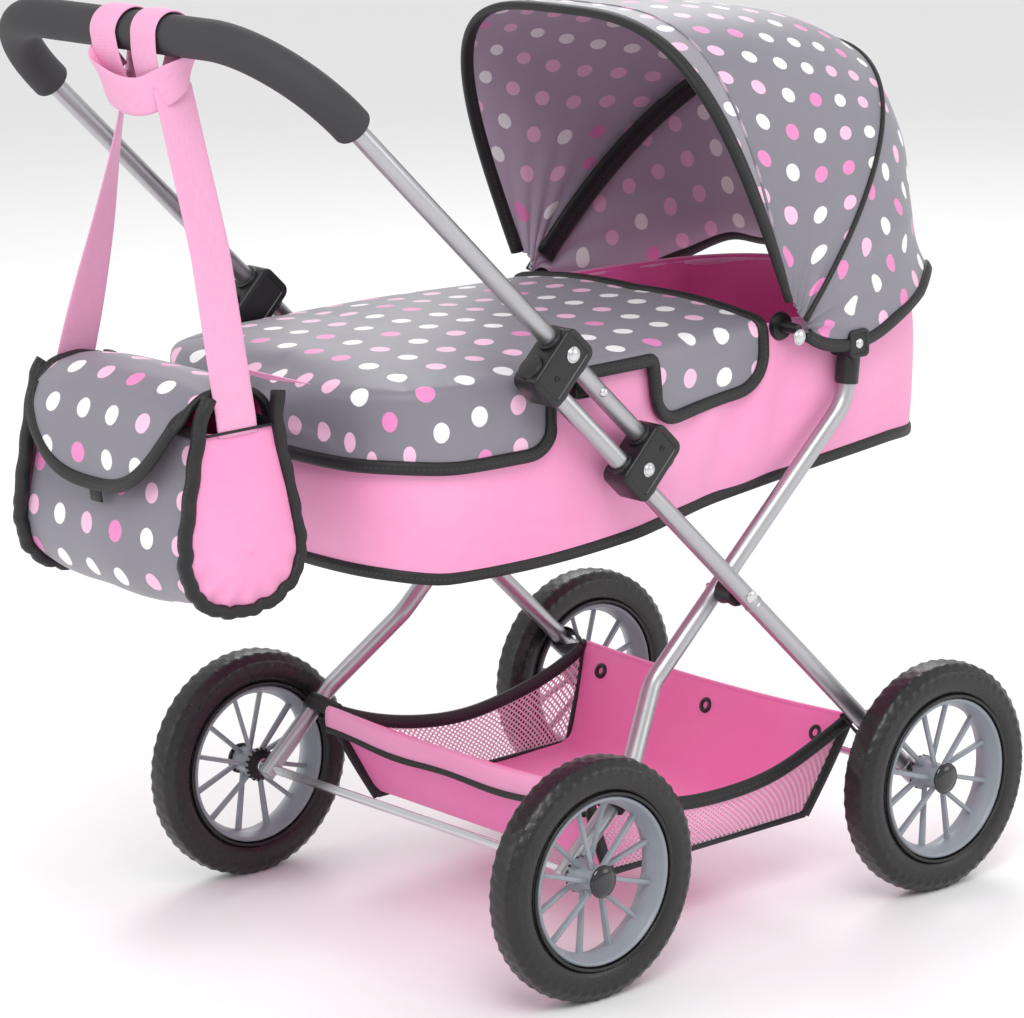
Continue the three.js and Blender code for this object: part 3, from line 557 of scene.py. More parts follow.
class Stuff(Enum):
    """Every finish on the pram, and the record's material slot it stands for."""

    TUBE = (DrawnMetal("satin_tube", (0.50, 0.50, 0.52), 0.34, 0.95), "tube")
    STEEL = (DrawnMetal("bright_steel", (0.70, 0.70, 0.72), 0.22, 1.0), "steel")
    PLASTIC = (Moulded("black_plastic", (0.008, 0.008, 0.009), 0.36, contrast=0.3), "black_plastic")
    CAP = (Moulded("gloss_cap", (0.006, 0.006, 0.008), 0.12, coat=0.6, contrast=0.2, depth=0.00001),
           "gloss_cap")
    RIM = (Moulded("rim_plastic", (0.27, 0.295, 0.33), 0.36, scale=1400.0, contrast=0.06, depth=0.00002),
           "rim_plastic")
    TYRE = (TyreFoam("tyre_foam", (0.009, 0.0085, 0.0085), 0.34), "tyre_foam")
    GRIP = (Moulded("grip_foam", (0.036, 0.036, 0.039), 0.7, scale=1500.0, contrast=0.3, depth=0.00014),
            "grip_foam")
    PINK = (Cloth("pink_cloth", (0.92, 0.40, 0.64), 0.55, sheen=0.12, shade_colour=(0.85, 0.20, 0.46)), "pink_cloth")
    # The lining's deeper pink is painted shade and painted pink bounce light inside the cot; it is the same cloth as
    # the wall.
    LINING = (Cloth("pink_lining_painted_shade", (0.86, 0.13, 0.42), 0.66, sheen=0.1, shade_colour=(0.66, 0.03, 0.25)),
              "pink_cloth")
    BASKET = (Cloth("basket_cloth", (0.90, 0.24, 0.52), 0.62, sheen=0.1, shade_colour=(0.80, 0.12, 0.38),
                    crease=0.0004), "pink_cloth")
    DOTTED = (DottedCloth("dotted_cloth", (0.235, 0.225, 0.265), 0.42, sheen=0.15,
                          shade_colour=(0.16, 0.15, 0.185), crease=0.0005), "dotted_cloth")
    BAND = (DottedCloth("hood_band_cloth", (0.33, 0.315, 0.355), 0.42, sheen=0.15,
                        shade_colour=(0.25, 0.235, 0.27), crease=0.0005), "dotted_cloth")
    # The hood's lining is painted lighter than the outside cloth: painted light shining through the hood.
    HOOD_LINING = (DottedCloth("hood_lining_painted_light", (0.50, 0.42, 0.52), 0.6, sheen=0.1, shade_colour=(0.40, 0.30, 0.42),
                               crease=0.0005), "dotted_cloth")
    WEBBING = (Tape("pink_webbing", (0.93, 0.42, 0.66), 0.62, sheen=0.15, thread=(0.75, 0.16, 0.42),
                    ribs=500.0, stitch_at=2.0), "pink_webbing")
    BINDING = (Tape("black_binding", (0.008, 0.0075, 0.009), 0.55, sheen=0.02, thread=(0.02, 0.02, 0.022)),
               "black_binding")
    NET = (Net("net", (0.80, 0.50, 0.64), 0.55, open_share=0.2), "black_mesh")
    BOARD = (Moulded("floor_board", (0.76, 0.09, 0.33), 0.8, contrast=0.12), "board")

    @property
    def material(self) -> bpy.types.Material:
        """The finish's material."""
        return self.value[0].material()

    @property
    def slot(self) -> str:
        """The record's material slot."""
        return self.value[1]


# ---------------------------------------------------------------- the modelling bench
def clear_bench() -> None:
    """Leaves edit mode and deselects everything."""
    if bpy.context.object and bpy.context.object.mode != "OBJECT":
        bpy.ops.object.mode_set(mode="OBJECT")
    bpy.ops.object.select_all(action="DESELECT")


def take_up(piece: Obj) -> None:
    """Makes one piece the only selected and the active one."""
    clear_bench()
    piece.select_set(True)
    bpy.context.view_layer.objects.active = piece


def keep_place(name: str) -> Obj:
    """Names the new primitive and bakes its place into its mesh.

    Args:
        name: the piece's name.

    Returns:
        The piece.
    """
    piece = bpy.context.object
    piece.name = name
    piece.data.name = name
    bpy.ops.object.transform_apply(location=True, rotation=True, scale=True)
    return piece


def grasp(piece: Obj, faces: Callable | None = None, edges: Callable | None = None) -> int:
    """In edit mode, selects only the faces or edges that a test accepts.

    Args:
        piece: the piece in edit mode.
        faces: a test of a face.
        edges: a test of an edge, used when there is none for faces.

    Returns:
        How many were selected.
    """
    mode = "FACE" if faces else "EDGE"
    bpy.ops.mesh.select_mode(type=mode)
    bpy.ops.mesh.select_all(action="DESELECT")
    bm = bmesh.from_edit_mesh(piece.data)
    bm.faces.ensure_lookup_table()
    bm.normal_update()
    chosen = [part for part in (bm.faces if faces else bm.edges) if (faces or edges)(part)]
    for part in chosen:
        part.select_set(True)
    bm.select_flush_mode()
    bmesh.update_edit_mesh(piece.data)
    return len(chosen)


def edit(piece: Obj) -> None:
    """Puts one piece in edit mode with all of it selected."""
    take_up(piece)
    bpy.ops.object.mode_set(mode="EDIT")
    bpy.ops.mesh.select_mode(type="EDGE")
    bpy.ops.mesh.select_all(action="SELECT")


def tidy_mesh(piece: Obj) -> None:
    """Merges doubles, points the faces outward and goes back to object mode."""
    bpy.ops.mesh.select_all(action="SELECT")
    bpy.ops.mesh.remove_doubles(threshold=2e-6)
    bpy.ops.mesh.normals_make_consistent(inside=False)
    bpy.ops.object.mode_set(mode="OBJECT")


def press(piece: Obj, kind: str, **settings: object) -> None:
    """Adds a modifier to a piece and applies it.

    Args:
        piece: the piece.
        kind: the modifier's type.
        settings: the modifier's settings.
    """
    take_up(piece)
    made = piece.modifiers.new(kind.title(), kind)
    for key, value in settings.items():
        setattr(made, key, value)
    bpy.ops.object.modifier_apply(modifier=made.name)


def round_off(piece: Obj, width: float, segments: int = 3, angle: float = 35.0) -> None:
    """Bevels a piece's sharp edges by width in millimetres and shades it smooth."""
    press(piece, "BEVEL", width=width * MM, segments=segments, limit_method="ANGLE",
          angle_limit=math.radians(angle))
    soften(piece)


def soften(piece: Obj, angle: float = 40.0) -> None:
    """Shades a piece smooth up to an angle in degrees."""
    take_up(piece)
    bpy.ops.object.shade_smooth_by_angle(angle=math.radians(angle))
    clear_bench()


def subdivide(piece: Obj, levels: int = 1) -> None:
    """Applies a subdivision surface of as many levels and shades the piece smooth."""
    press(piece, "SUBSURF", levels=levels, render_levels=levels)
    soften(piece, 180.0)


def dress(piece: Obj, stuff: Stuff, body: str, *nodes: str) -> Obj:
    """Gives a finished piece its finish and its body, and says which CAD nodes it stands for.

    Args:
        piece: the piece.
        stuff: its finish.
        body: the CAD body it rides on, or nothing to leave it unattached.
        nodes: the CAD nodes it replaces.

    Returns:
        The piece.
    """
    if not piece.data.materials:
        piece.data.materials.append(stuff.material)
    if body:
        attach(piece, body)
    if nodes:
        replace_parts(piece, *nodes)
    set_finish(piece, stuff.slot)
    LOG.info("%s: %d faces, %s", piece.name, len(piece.data.polygons), body or "bends")
    return piece


def twin(piece: Obj, name: str, change: Matrix, flip: bool = False) -> Obj:
    """Copies a piece with a mesh of its own, moved by a matrix.

    Args:
        piece: the piece to copy.
        name: the copy's name.
        change: where the copy goes from where the piece is.
        flip: whether the matrix mirrors, so that the faces are turned back outward.

    Returns:
        The copy.
    """
    copy = piece.copy()
    copy.data = piece.data.copy()
    copy.name = name
    copy.data.name = name
    copy.parent = None
    copy.matrix_world = Matrix.Identity(4)
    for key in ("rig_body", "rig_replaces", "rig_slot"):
        if key in copy:
            del copy[key]
    bpy.context.scene.collection.objects.link(copy)
    copy.data.transform(change)
    if flip:
        copy.data.flip_normals()
    copy.data.update()
    return copy


MIRROR_Y = Matrix.Scale(-1, 4, (0, 1, 0))


def join_up(name: str, parts: Sequence[Obj]) -> Obj:
    """Joins parts into one piece.

    Args:
        name: the piece's name.
        parts: the parts, the first of which keeps its object.

    Returns:
        The joined piece.
    """
    clear_bench()
    for part in parts:
        part.select_set(True)
    bpy.context.view_layer.objects.active = parts[0]
    bpy.ops.object.join()
    parts[0].name = name
    parts[0].data.name = name
    clear_bench()
    return parts[0]


def lathe(name: str, profile: Sequence[tuple[float, float]], centre: Vector, steps: int,
          closed: bool = False) -> Obj:
    """Turns a section about an axis along Y by spinning it.

    Args:
        name: the piece's name.
        profile: the section as (radius, y) in millimetres, y outward from the centre.
        centre: the middle of the piece, in metres.
        steps: how many steps a full turn has.
        closed: whether the section is a closed loop. An open one starts and ends on the axis.

    Returns:
        The turned piece.
    """
    clear_bench()
    bpy.ops.mesh.primitive_circle_add(vertices=len(profile), radius=1.0, fill_type="NOTHING")
    piece = keep_place(name)
    for vertex, (radius, y) in zip(piece.data.vertices, profile):
        vertex.co = centre + Vector((radius * MM, y * MM, 0.0))
    edit(piece)
    if not closed:
        last = len(profile) - 1
        grasp(piece, edges=lambda e: {v.index for v in e.verts} == {0, last})
        bpy.ops.mesh.delete(type="EDGE")
        bpy.ops.mesh.select_all(action="SELECT")
    else:
        bpy.ops.mesh.select_all(action="SELECT")
    bpy.ops.mesh.spin(steps=steps, angle=math.tau, center=centre, axis=(0, 1, 0), dupli=False)
    tidy_mesh(piece)
    return piece


def bend_tube(name: str, corners: Sequence[Vector], radius: float, bend: float, sides: int = 20,
              steps: int = 9, hollow: bool = False) -> Obj:
    """A tube drawn from corner to corner by extrude, and round each bend by spin.

    Args:
        name: the piece's name.
        corners: the centreline's corners, in metres.
        radius: the tube's radius in millimetres.
        bend: the bend radius of the centreline in millimetres.
        sides: how many sides the tube has.
        steps: how many steps a bend has.
        hollow: whether the ends stay open.

    Returns:
        The tube.
    """
    clear_bench()
    first = (corners[1] - corners[0]).normalized()
    bpy.ops.mesh.primitive_circle_add(vertices=sides, radius=radius * MM, fill_type="NOTHING",
                                      location=corners[0],
                                      rotation=first.to_track_quat("Z", "Y").to_euler())
    piece = keep_place(name)
    edit(piece)
    at = corners[0]
    for i in range(1, len(corners)):
        into = (corners[i] - corners[i - 1]).normalized()
        if i == len(corners) - 1:
            bpy.ops.mesh.extrude_region_move(TRANSFORM_OT_translate={"value": corners[i] - at})
            break
        out = (corners[i + 1] - corners[i]).normalized()
        turn = into.angle(out)
        start = corners[i] - into * bend * MM * math.tan(turn / 2)
        axis = into.cross(out).normalized()
        centre = start + axis.cross(into) * bend * MM
        bpy.ops.mesh.extrude_region_move(TRANSFORM_OT_translate={"value": start - at})
        bpy.ops.mesh.spin(steps=steps, angle=-turn, center=centre, axis=axis, dupli=False)
        at = corners[i] + out * bend * MM * math.tan(turn / 2)
    if not hollow:
        for end in (corners[0], corners[-1]):
            grasp(piece, edges=lambda e, end=end: e.is_boundary
                  and all((v.co - end).length < radius * MM * 1.2 for v in e.verts))
            bpy.ops.mesh.edge_face_add()
    tidy_mesh(piece)
    return piece


def grid_piece(name: str, points: Points, wrap: bool = False, flat: Points | None = None,
               shift: bool = True) -> Obj:
    """A cloth surface from a grid of points.

    Args:
        name: the piece's name.
        points: rows by columns by xyz, in millimetres.
        wrap: whether the columns close into rings.
        flat: rows by columns (one more where they close) by uv in millimetres, or nothing to measure
            them along the surface.
        shift: whether X runs from midway between the axles.

    Returns:
        The surface, with its flat map.
    """
    rows, columns = points.shape[:2]
    cells = columns if wrap else columns - 1
    closed = np.concatenate([points, points[:, :1]], axis=1) if wrap else points
    if flat is None:
        across = np.linalg.norm(np.diff(closed, axis=1), axis=2).mean(axis=0)
        down = np.linalg.norm(np.diff(points, axis=0), axis=2).mean(axis=1)
        u = np.concatenate([[0.0], np.cumsum(across)])
        v = np.concatenate([[0.0], np.cumsum(down)])
        flat = np.stack(np.meshgrid(u, v), axis=2)
    metres = points.reshape(-1, 3) * MM
    if shift:
        metres = metres + np.array([MIDWAY_X, 0.0, 0.0])
    faces, uvs = [], []
    for r in range(rows - 1):
        for c in range(cells):
            n = (c + 1) % columns
            faces.append((r * columns + c, r * columns + n, (r + 1) * columns + n, (r + 1) * columns + c))
            uvs += [flat[r, c], flat[r, c + 1], flat[r + 1, c + 1], flat[r + 1, c]]
    mesh = bpy.data.meshes.new(name)
    mesh.from_pydata(metres.tolist(), [], faces)
    layer = mesh.uv_layers.new(name=CLOTH_UV)
    layer.data.foreach_set("uv", (np.array(uvs) * MM).astype(np.float32).ravel())
    mesh.update()
    piece = bpy.data.objects.new(name, mesh)
    bpy.context.scene.collection.objects.link(piece)
    return piece


def face_out(piece: Obj, middle: Vector) -> None:
    """Turns an open surface's faces away from a point, in metres."""
    mesh = piece.data
    mesh.update()
    score = sum(face.normal.dot(face.center - middle) * face.area for face in mesh.polygons)
    if score < 0:
        mesh.flip_normals()
        mesh.update()


def thicken(piece: Obj, thickness: float, offset: float = -1.0, lining: Stuff | None = None) -> None:
    """Gives a surface the thickness of its cloth.

    Args:
        piece: the surface.
        thickness: in millimetres.
        offset: -1 to grow inward, 1 outward, 0 both ways.
        lining: the finish of the back, if it differs.
    """
    if lining:
        piece.data.materials.append(lining.material)
    press(piece, "SOLIDIFY", thickness=thickness * MM, offset=offset, use_even_offset=False,
          material_offset=len(piece.data.materials) - 1 if lining else 0)
    soften(piece, 60.0)


def tape_along(name: str, path: Points, ups: Points, width: float, thick: float = 1.6,
               sides: int = 12, closed: bool = False) -> Obj:
    """A folded binding tape: a soft flat tube that follows a path and has a flat map along it.

    Args:
        name: the piece's name.
        path: the tape's centreline, in millimetres.
        ups: at each point, the direction its width runs.
        width: the tape's width in millimetres.
        thick: its thickness in millimetres.
        sides: how many sides its section has.
        closed: whether the path is a ring.

    Returns:
        The tape.
    """
    path, ups = np.asarray(path, float), np.asarray(ups, float)
    ahead = np.roll(path, -1, axis=0) - np.roll(path, 1, axis=0)
    if not closed:
        ahead[0], ahead[-1] = path[1] - path[0], path[-1] - path[-2]
    ahead /= np.linalg.norm(ahead, axis=1)[:, None]
    ups = ups - ahead * (ups * ahead).sum(axis=1)[:, None]
    ups /= np.linalg.norm(ups, axis=1)[:, None]
    out = np.cross(ahead, ups)
    turn = np.arange(sides) / sides * math.tau
    c, s = np.cos(turn), np.sin(turn)
    across = np.sign(c) * np.abs(c) ** 0.7 * width / 2
    through = np.sign(s) * np.abs(s) ** 0.8 * thick / 2
    rings = path[:, None] + ups[:, None] * across[None, :, None] + out[:, None] * through[None, :, None]
    steps = np.linalg.norm(np.diff(path, axis=0), axis=1)
    along = np.concatenate([[0.0], np.cumsum(steps)])
    if closed:
        rings = np.concatenate([rings, rings[:1]])
        along = np.concatenate([along, [along[-1] + np.linalg.norm(path[0] - path[-1])]])
    share = np.abs(np.arange(sides + 1) / sides * 2 - 1) / MM
    flat = np.stack([np.repeat(along[:, None], sides + 1, axis=1),
                     np.repeat(share[None], len(along), axis=0)], axis=2)
    piece = grid_piece(name, rings, wrap=True, flat=flat)
    edit(piece)
    if not closed:
        for end in (rings[0].mean(axis=0), rings[-1].mean(axis=0)):
            middle = Vector(end * MM) + Vector((MIDWAY_X, 0, 0))
            grasp(piece, edges=lambda e, middle=middle: e.is_boundary
                  and all((v.co - middle).length < width * MM for v in e.verts))
            bpy.ops.mesh.edge_face_add()
    tidy_mesh(piece)
    soften(piece, 180.0)
    return piece


@dataclass
class Puff:
    """A short cloth simulation that fills a closed piece out and lets its cloth pucker.

    Attributes:
        pressure: the air pressure inside.
        cap: how far a point may move, in millimetres.
        frames: how long it runs.
        gravity: the share of the world's gravity.
        stiffness: how hard the cloth is to stretch.
        shrink: how much the cloth is made smaller (positive) or larger (negative) at the start.
    """

    pressure: float = 4.0
    cap: float = 8.0
    frames: int = 20
    gravity: float = 0.0
    stiffness: float = 15.0
    shrink: float = 0.0

    def run(self, piece: Obj, held: Points | None = None) -> None:
        """Simulates the piece and keeps the result as its mesh.

        Args:
            piece: the piece.
            held: for each vertex, how firmly it is held in place, from 0 to 1.
        """
        take_up(piece)
        rest = np.array([v.co for v in piece.data.vertices])
        cloth = piece.modifiers.new("Cloth", "CLOTH")
        cloth.settings.quality = 6
        cloth.settings.mass = 0.2
        cloth.settings.tension_stiffness = self.stiffness
        cloth.settings.compression_stiffness = self.stiffness
        cloth.settings.shear_stiffness = self.stiffness / 3
        cloth.settings.bending_stiffness = 0.4
        cloth.settings.shrink_min = self.shrink
        cloth.settings.use_pressure = self.pressure > 0
        cloth.settings.uniform_pressure_force = self.pressure
        cloth.settings.effector_weights.gravity = self.gravity
        cloth.collision_settings.use_collision = False
        if held is not None:
            group = piece.vertex_groups.new(name="held")
            for index in np.nonzero(held > 0)[0]:
                group.add([int(index)], float(held[index]), "REPLACE")
            cloth.settings.vertex_group_mass = "held"
        cloth.point_cache.frame_start = 1
        cloth.point_cache.frame_end = self.frames
        scene = bpy.context.scene
        for step in range(1, self.frames + 1):
            scene.frame_set(step)
        take_up(piece)
        bpy.ops.object.modifier_apply(modifier=cloth.name)
        scene.frame_set(1)
        moved = np.array([v.co for v in piece.data.vertices]) - rest
        far = np.linalg.norm(moved, axis=1)
        limit = self.cap * MM
        share = np.where(far > 1e-9, limit * np.tanh(far / limit) / np.maximum(far, 1e-9), 1.0)
        piece.data.vertices.foreach_set("co", (rest + moved * share[:, None]).ravel())
        piece.vertex_groups.clear()
        piece.data.update()
        LOG.info("%s filled out, its furthest point by %.1f mm", piece.name, far.max() / MM)


# ---------------------------------------------------------------- camera and stage
@dataclass
class Stage:
    """The camera, the pale floor and the studio light.

    Attributes:
        camera_at: where the camera stands, in metres.
        heading: the direction it looks, in degrees from +X towards +Y.
        pitch: how far it looks down, in degrees.
        roll: how far it is turned about its own axis, in degrees.
        lens: its focal length in millimetres.
    """

    camera_at: tuple[float, float, float] = (-1.67927, -1.98091, 0.88113)
    heading: float = 49.83
    pitch: float = 13.52
    roll: float = 1.45
    lens: float = 148.85

    def build(self) -> None:
        """Makes the camera, the floor, the lights and the world."""
        self.camera()
        self.floor()
        centre = sum(CAD_BOX, Vector()) / 2
        self.lamp("key", (-1.2, -1.6, 2.3), 1.5, 34.0, centre)
        self.lamp("fill", (-2.4, 0.9, 1.3), 1.6, 9.0, centre)
        self.lamp("back", (1.6, 1.5, 1.9), 1.4, 18.0, centre)
        self.lamp("side", (1.5, -1.8, 0.9), 1.2, 6.0, centre)
        world = bpy.data.worlds.new("studio")
        bpy.context.scene.world = world
        world.use_nodes = True
        sky = world.node_tree.nodes["Background"]
        sky.inputs["Color"].default_value = (1.0, 1.0, 1.0, 1.0)
        sky.inputs["Strength"].default_value = 0.8
        bpy.context.scene.view_settings.view_transform = "Standard"

    def camera(self) -> None:
        """Makes the camera and aims it."""
        data = bpy.data.cameras.new("camera")
        data.lens, data.sensor_width, data.sensor_fit = self.lens, 36.0, "HORIZONTAL"
        data.clip_start, data.clip_end = 0.05, 50.0
        camera = bpy.data.objects.new("camera", data)
        bpy.context.scene.collection.objects.link(camera)
        heading, pitch, roll = map(math.radians, (self.heading, self.pitch, self.roll))
        level = Vector((math.sin(heading), -math.cos(heading), 0.0))
        ahead = Vector((math.cos(heading) * math.cos(pitch), math.sin(heading) * math.cos(pitch),
                        -math.sin(pitch)))
        upright = level.cross(ahead)
        right = level * math.cos(roll) - upright * math.sin(roll)
        up = right.cross(ahead)
        turned = Matrix((right, up, -ahead)).transposed()
        camera.matrix_world = Matrix.Translation(self.camera_at) @ turned.to_4x4()
        bpy.context.scene.camera = camera

    def lamp(self, name: str, place: tuple[float, float, float], size: float, power: float,
             target: Vector) -> None:
        """Adds an area light aimed at the pram.

        Args:
            name: the light's name.
            place: where it hangs, in metres.
            size: how wide it is, in metres.
            power: its power in watts.
            target: what it is aimed at.
        """
        data = bpy.data.lights.new(name, "AREA")
        data.shape, data.size, data.energy = "DISK", size, power
        lamp = bpy.data.objects.new(name, data)
        bpy.context.scene.collection.objects.link(lamp)
        lamp.location = place
        lamp.rotation_mode = "QUATERNION"
        lamp.rotation_quaternion = (target - Vector(place)).to_track_quat("-Z", "Y")

    def floor(self) -> None:
        """Makes the pale floor, a flat plane under the pram."""
        clear_bench()
        bpy.ops.mesh.primitive_plane_add(size=40.0, location=(0, 0, 0))
        floor = keep_place("floor")
        made = bpy.data.materials.new("floor")
        made.use_nodes = True
        graph = Graph(made.node_tree)
        shader = made.node_tree.nodes["Principled BSDF"]
        shader.inputs["Roughness"].default_value = 0.55
        place = graph.add("TexCoord").outputs["Object"]
        noise = graph.add("TexNoise", {"Vector": place, "Scale": 30.0})
        tinted = graph.mix(noise.outputs[0], (0.93, 0.925, 0.93, 1), (0.96, 0.955, 0.96, 1))
        graph.tree.links.new(tinted, shader.inputs["Base Color"])
        floor.data.materials.append(made)


# ---------------------------------------------------------------- wheels
@dataclass
class Wheels:
    """Four spoked wheels with foam tyres, on two axles.

    Attributes:
        tread: the tyre's outer radius.
        seat: the tyre's inner radius, where it sits on the rim.
        half_width: half the tyre's width.
        around: how many steps the tread has.
        studs_around: how many studs there are round the tread.
        cap: the hub cap's radius.
    """

    tread: float = 75.0
    seat: float = 52.2
    half_width: float = 12.2
    around: int = 208
    studs_around: int = 52
    cap: float = 10.2
    spoke_pairs: int = 6
    axle: float = 3.0
    collar: float = 5.0

    def build(self) -> None:
        """Models one wheel about the origin, then places a copy at each axle's end."""
        parts = {"tyre": (self.tyre(), Stuff.TYRE), "rim": (self.rim(), Stuff.RIM),
                 "hub_cap": (self.hub_cap(), Stuff.CAP), "hub_ring": (self.hub_ring(), Stuff.PLASTIC)}
        for end in ENDS:
            for letter, side in SIDES:
                centre = node_centre(f"tyre_{end}_{letter}")
                facing = Matrix.Identity(4) if side > 0 else Matrix.Rotation(math.pi, 4, "Z")
                for kind, (model, stuff) in parts.items():
                    nodes = [f"{kind}_{end}_{letter}"] if kind != "hub_ring" else []
                    name = f"wheel_{kind}_{end}_{letter}"
                    piece = twin(model, name, Matrix.Translation(centre) @ facing)
                    dress(piece, stuff, f"wheel_{end}_{letter}", *nodes)
        for model, _ in parts.values():
            bpy.data.objects.remove(model)
        self.axles()

    def tyre(self) -> Obj:
        """A round-shouldered tyre with rows of low studs on its tread and a bead at the rim."""
        count = 40
        middle, reach = (self.tread + self.seat) / 2, (self.tread - self.seat) / 2
        section = []
        for i in range(count):
            c, s = math.cos(i / count * math.tau), math.sin(i / count * math.tau)
            radius = middle + reach * math.copysign(abs(c) ** 0.82, c)
            section.append((radius, self.half_width * math.copysign(abs(s) ** 0.66, s)))
        tyre = lathe("tyre", section, Vector(), self.around, closed=True)
        mesh = tyre.data
        co = np.array([v.co for v in mesh.vertices]) / MM
        normal = np.array([v.normal for v in mesh.vertices])
        radius = np.hypot(co[:, 0], co[:, 2])
        turn = np.arctan2(co[:, 2], co[:, 0]) / math.tau
        across = np.arctan2(co[:, 1] / self.half_width, (radius - middle) / reach) / math.tau * 72
        row = np.round(across / 6.4)
        along = turn * self.studs_around + row * 0.5
        stud = np.cos((along - np.round(along)) * math.pi) * np.cos((across / 6.4 - row) * math.pi)
        high = np.clip(stud - 0.45, 0, 1) ** 0.8 * 1.5 * (np.abs(row) <= 2)
        sunk = co - normal * 0.35 * (np.abs(row) <= 2)[:, None]
        mesh.vertices.foreach_set("co", ((sunk + normal * high[:, None]) * MM).ravel())
        soften(tyre, 180.0)
        beads = []
        for y in (-10.9, 10.9):
            ring = [(53.9 + 1.15 * math.cos(a), y + 1.15 * math.sin(a))
                    for a in np.linspace(0, math.tau, 8, endpoint=False)]
            bead = lathe("bead", ring, Vector(), 96, closed=True)
            soften(bead, 180.0)
            beads.append(bead)
        return join_up("tyre", [tyre, *beads])

    def rim(self) -> Obj:
        """The dished ring, the tapered hub and the spokes in V pairs."""
        half = [(52.1, 9.8), (51.6, 10.7), (50.6, 11.1), (49.7, 10.6), (49.0, 9.0), (47.3, 5.4),
                (46.1, 2.6)]
        ring_section = [(45.7, 0.0), *[(r, -y) for r, y in reversed(half)], *half]
        ring = lathe("ring", ring_section, Vector(), 96, closed=True)
        hub_section = [(3.2, -11.4), (10.4, -11.4), (10.8, -10.9), (10.8, -8.8), (10.2, -7.6), (8.9, -4.0),
                       (8.3, 2.0), (8.1, 8.2), (7.6, 8.7), (3.2, 8.7)]
        hub = lathe("hub", hub_section, Vector(), 48, closed=True)
        for part in (ring, hub):
            soften(part, 50.0)
        spokes = []
        for i in range(self.spoke_pairs):
            for lean in (-1, 1):
                foot = (i + lean * 0.10) * math.tau / self.spoke_pairs
                head = (i + lean * 0.27) * math.tau / self.spoke_pairs
                spokes.append(self.spoke(foot, head, lean))
        return join_up("rim", [ring, hub, *spokes])

    def spoke(self, foot: float, head: float, lean: int) -> Obj:
        """One tapered flat spoke from the hub to the ring.

        Args:
            foot: the angle where it leaves the hub.
            head: the angle where it meets the ring.
            lean: 1 if it starts at the hub's outer end, -1 at the inner end.

        Returns:
            The spoke.
        """
        low = Vector((8.0 * math.cos(foot), 4.6 * lean - 1.0, 8.0 * math.sin(foot))) * MM
        high = Vector((47.6 * math.cos(head), 0.6 * lean, 47.6 * math.sin(head))) * MM
        clear_bench()
        bpy.ops.mesh.primitive_cube_add(size=1.0)
        spoke = keep_place("spoke")
        edit(spoke)
        grasp(spoke, edges=lambda e: abs(e.verts[0].co.z - e.verts[1].co.z) > 0.5)
        bpy.ops.mesh.bevel(offset=0.28, segments=2, affect="EDGES")
        bpy.ops.object.mode_set(mode="OBJECT")
        length = (high - low).length
        for vertex in spoke.data.vertices:
            wide = lerp(3.2, 4.4, vertex.co.z + 0.5)
            vertex.co = (vertex.co.x * wide * MM, vertex.co.y * 3.0 * MM, vertex.co.z * length)
        lie = (high - low).to_track_quat("Z", "Y").to_matrix().to_4x4()
        spoke.data.transform(Matrix.Translation((low + high) / 2) @ lie)
        soften(spoke, 40.0)
        return spoke

    def hub_cap(self) -> Obj:
        """The glossy domed cap with a fine lip."""
        r = self.cap
        section = [(0, 8.8), (r - 0.6, 8.8), (r - 0.1, 9.2), (r, 9.8), (r - 0.25, 10.6), (r - 1.1, 11.2),
                   (r - 1.5, 11.05), (r - 2.2, 11.7), (6.0, 12.4), (3.0, 12.8), (0, 12.95)]
        cap = lathe("hub_cap", section, Vector(), 48)
        soften(cap, 50.0)
        return cap

    def hub_ring(self) -> Obj:
        """The toothed ring on the hub's inner face."""
        section = [(4.2, -11.9), (9.4, -11.9), (10.0, -11.3), (10.0, -9.2), (4.2, -9.2)]
        parts = [lathe("hub_ring", section, Vector(), 48, closed=True)]
        teeth = 18
        for i in range(teeth):
            clear_bench()
            bpy.ops.mesh.primitive_cube_add(size=1.0, location=(0, 0, 0))
            tooth = keep_place("tooth")
            round_off(tooth, 180.0, 1)
            tooth.data.transform(Matrix.Rotation(i * math.tau / teeth, 4, "Y")
                                 @ Matrix.Translation((10.2 * MM, -10.9 * MM, 0))
                                 @ Matrix.Diagonal((2.2 * MM, 2.4 * MM, 1.7 * MM, 1)))
            parts.append(tooth)
        soften(parts[0], 40.0)
        return join_up("hub_ring", parts)

    def axles(self) -> None:
        """The two rods, with a collar at each wheel."""
        for end, body in zip(ENDS, ("front_frame", "rear_frame")):
            centre = node_centre(f"axle_{end}")
            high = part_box(f"axle_{end}")[1].y / MM
            a, c = self.axle, self.collar
            half = [(a, 153.3), (c - 0.5, 153.3), (c, 153.8), (c, 157.0), (c - 0.5, 157.5), (a, 157.5),
                    (a, high - 0.4), (a - 0.4, high), (0, high)]
            section = [(r, -y) for r, y in reversed(half)] + half
            rod = lathe(f"axle_rod_{end}", section, centre, 32)
            soften(rod, 35.0)
            dress(rod, Stuff.STEEL, body, f"axle_{end}")


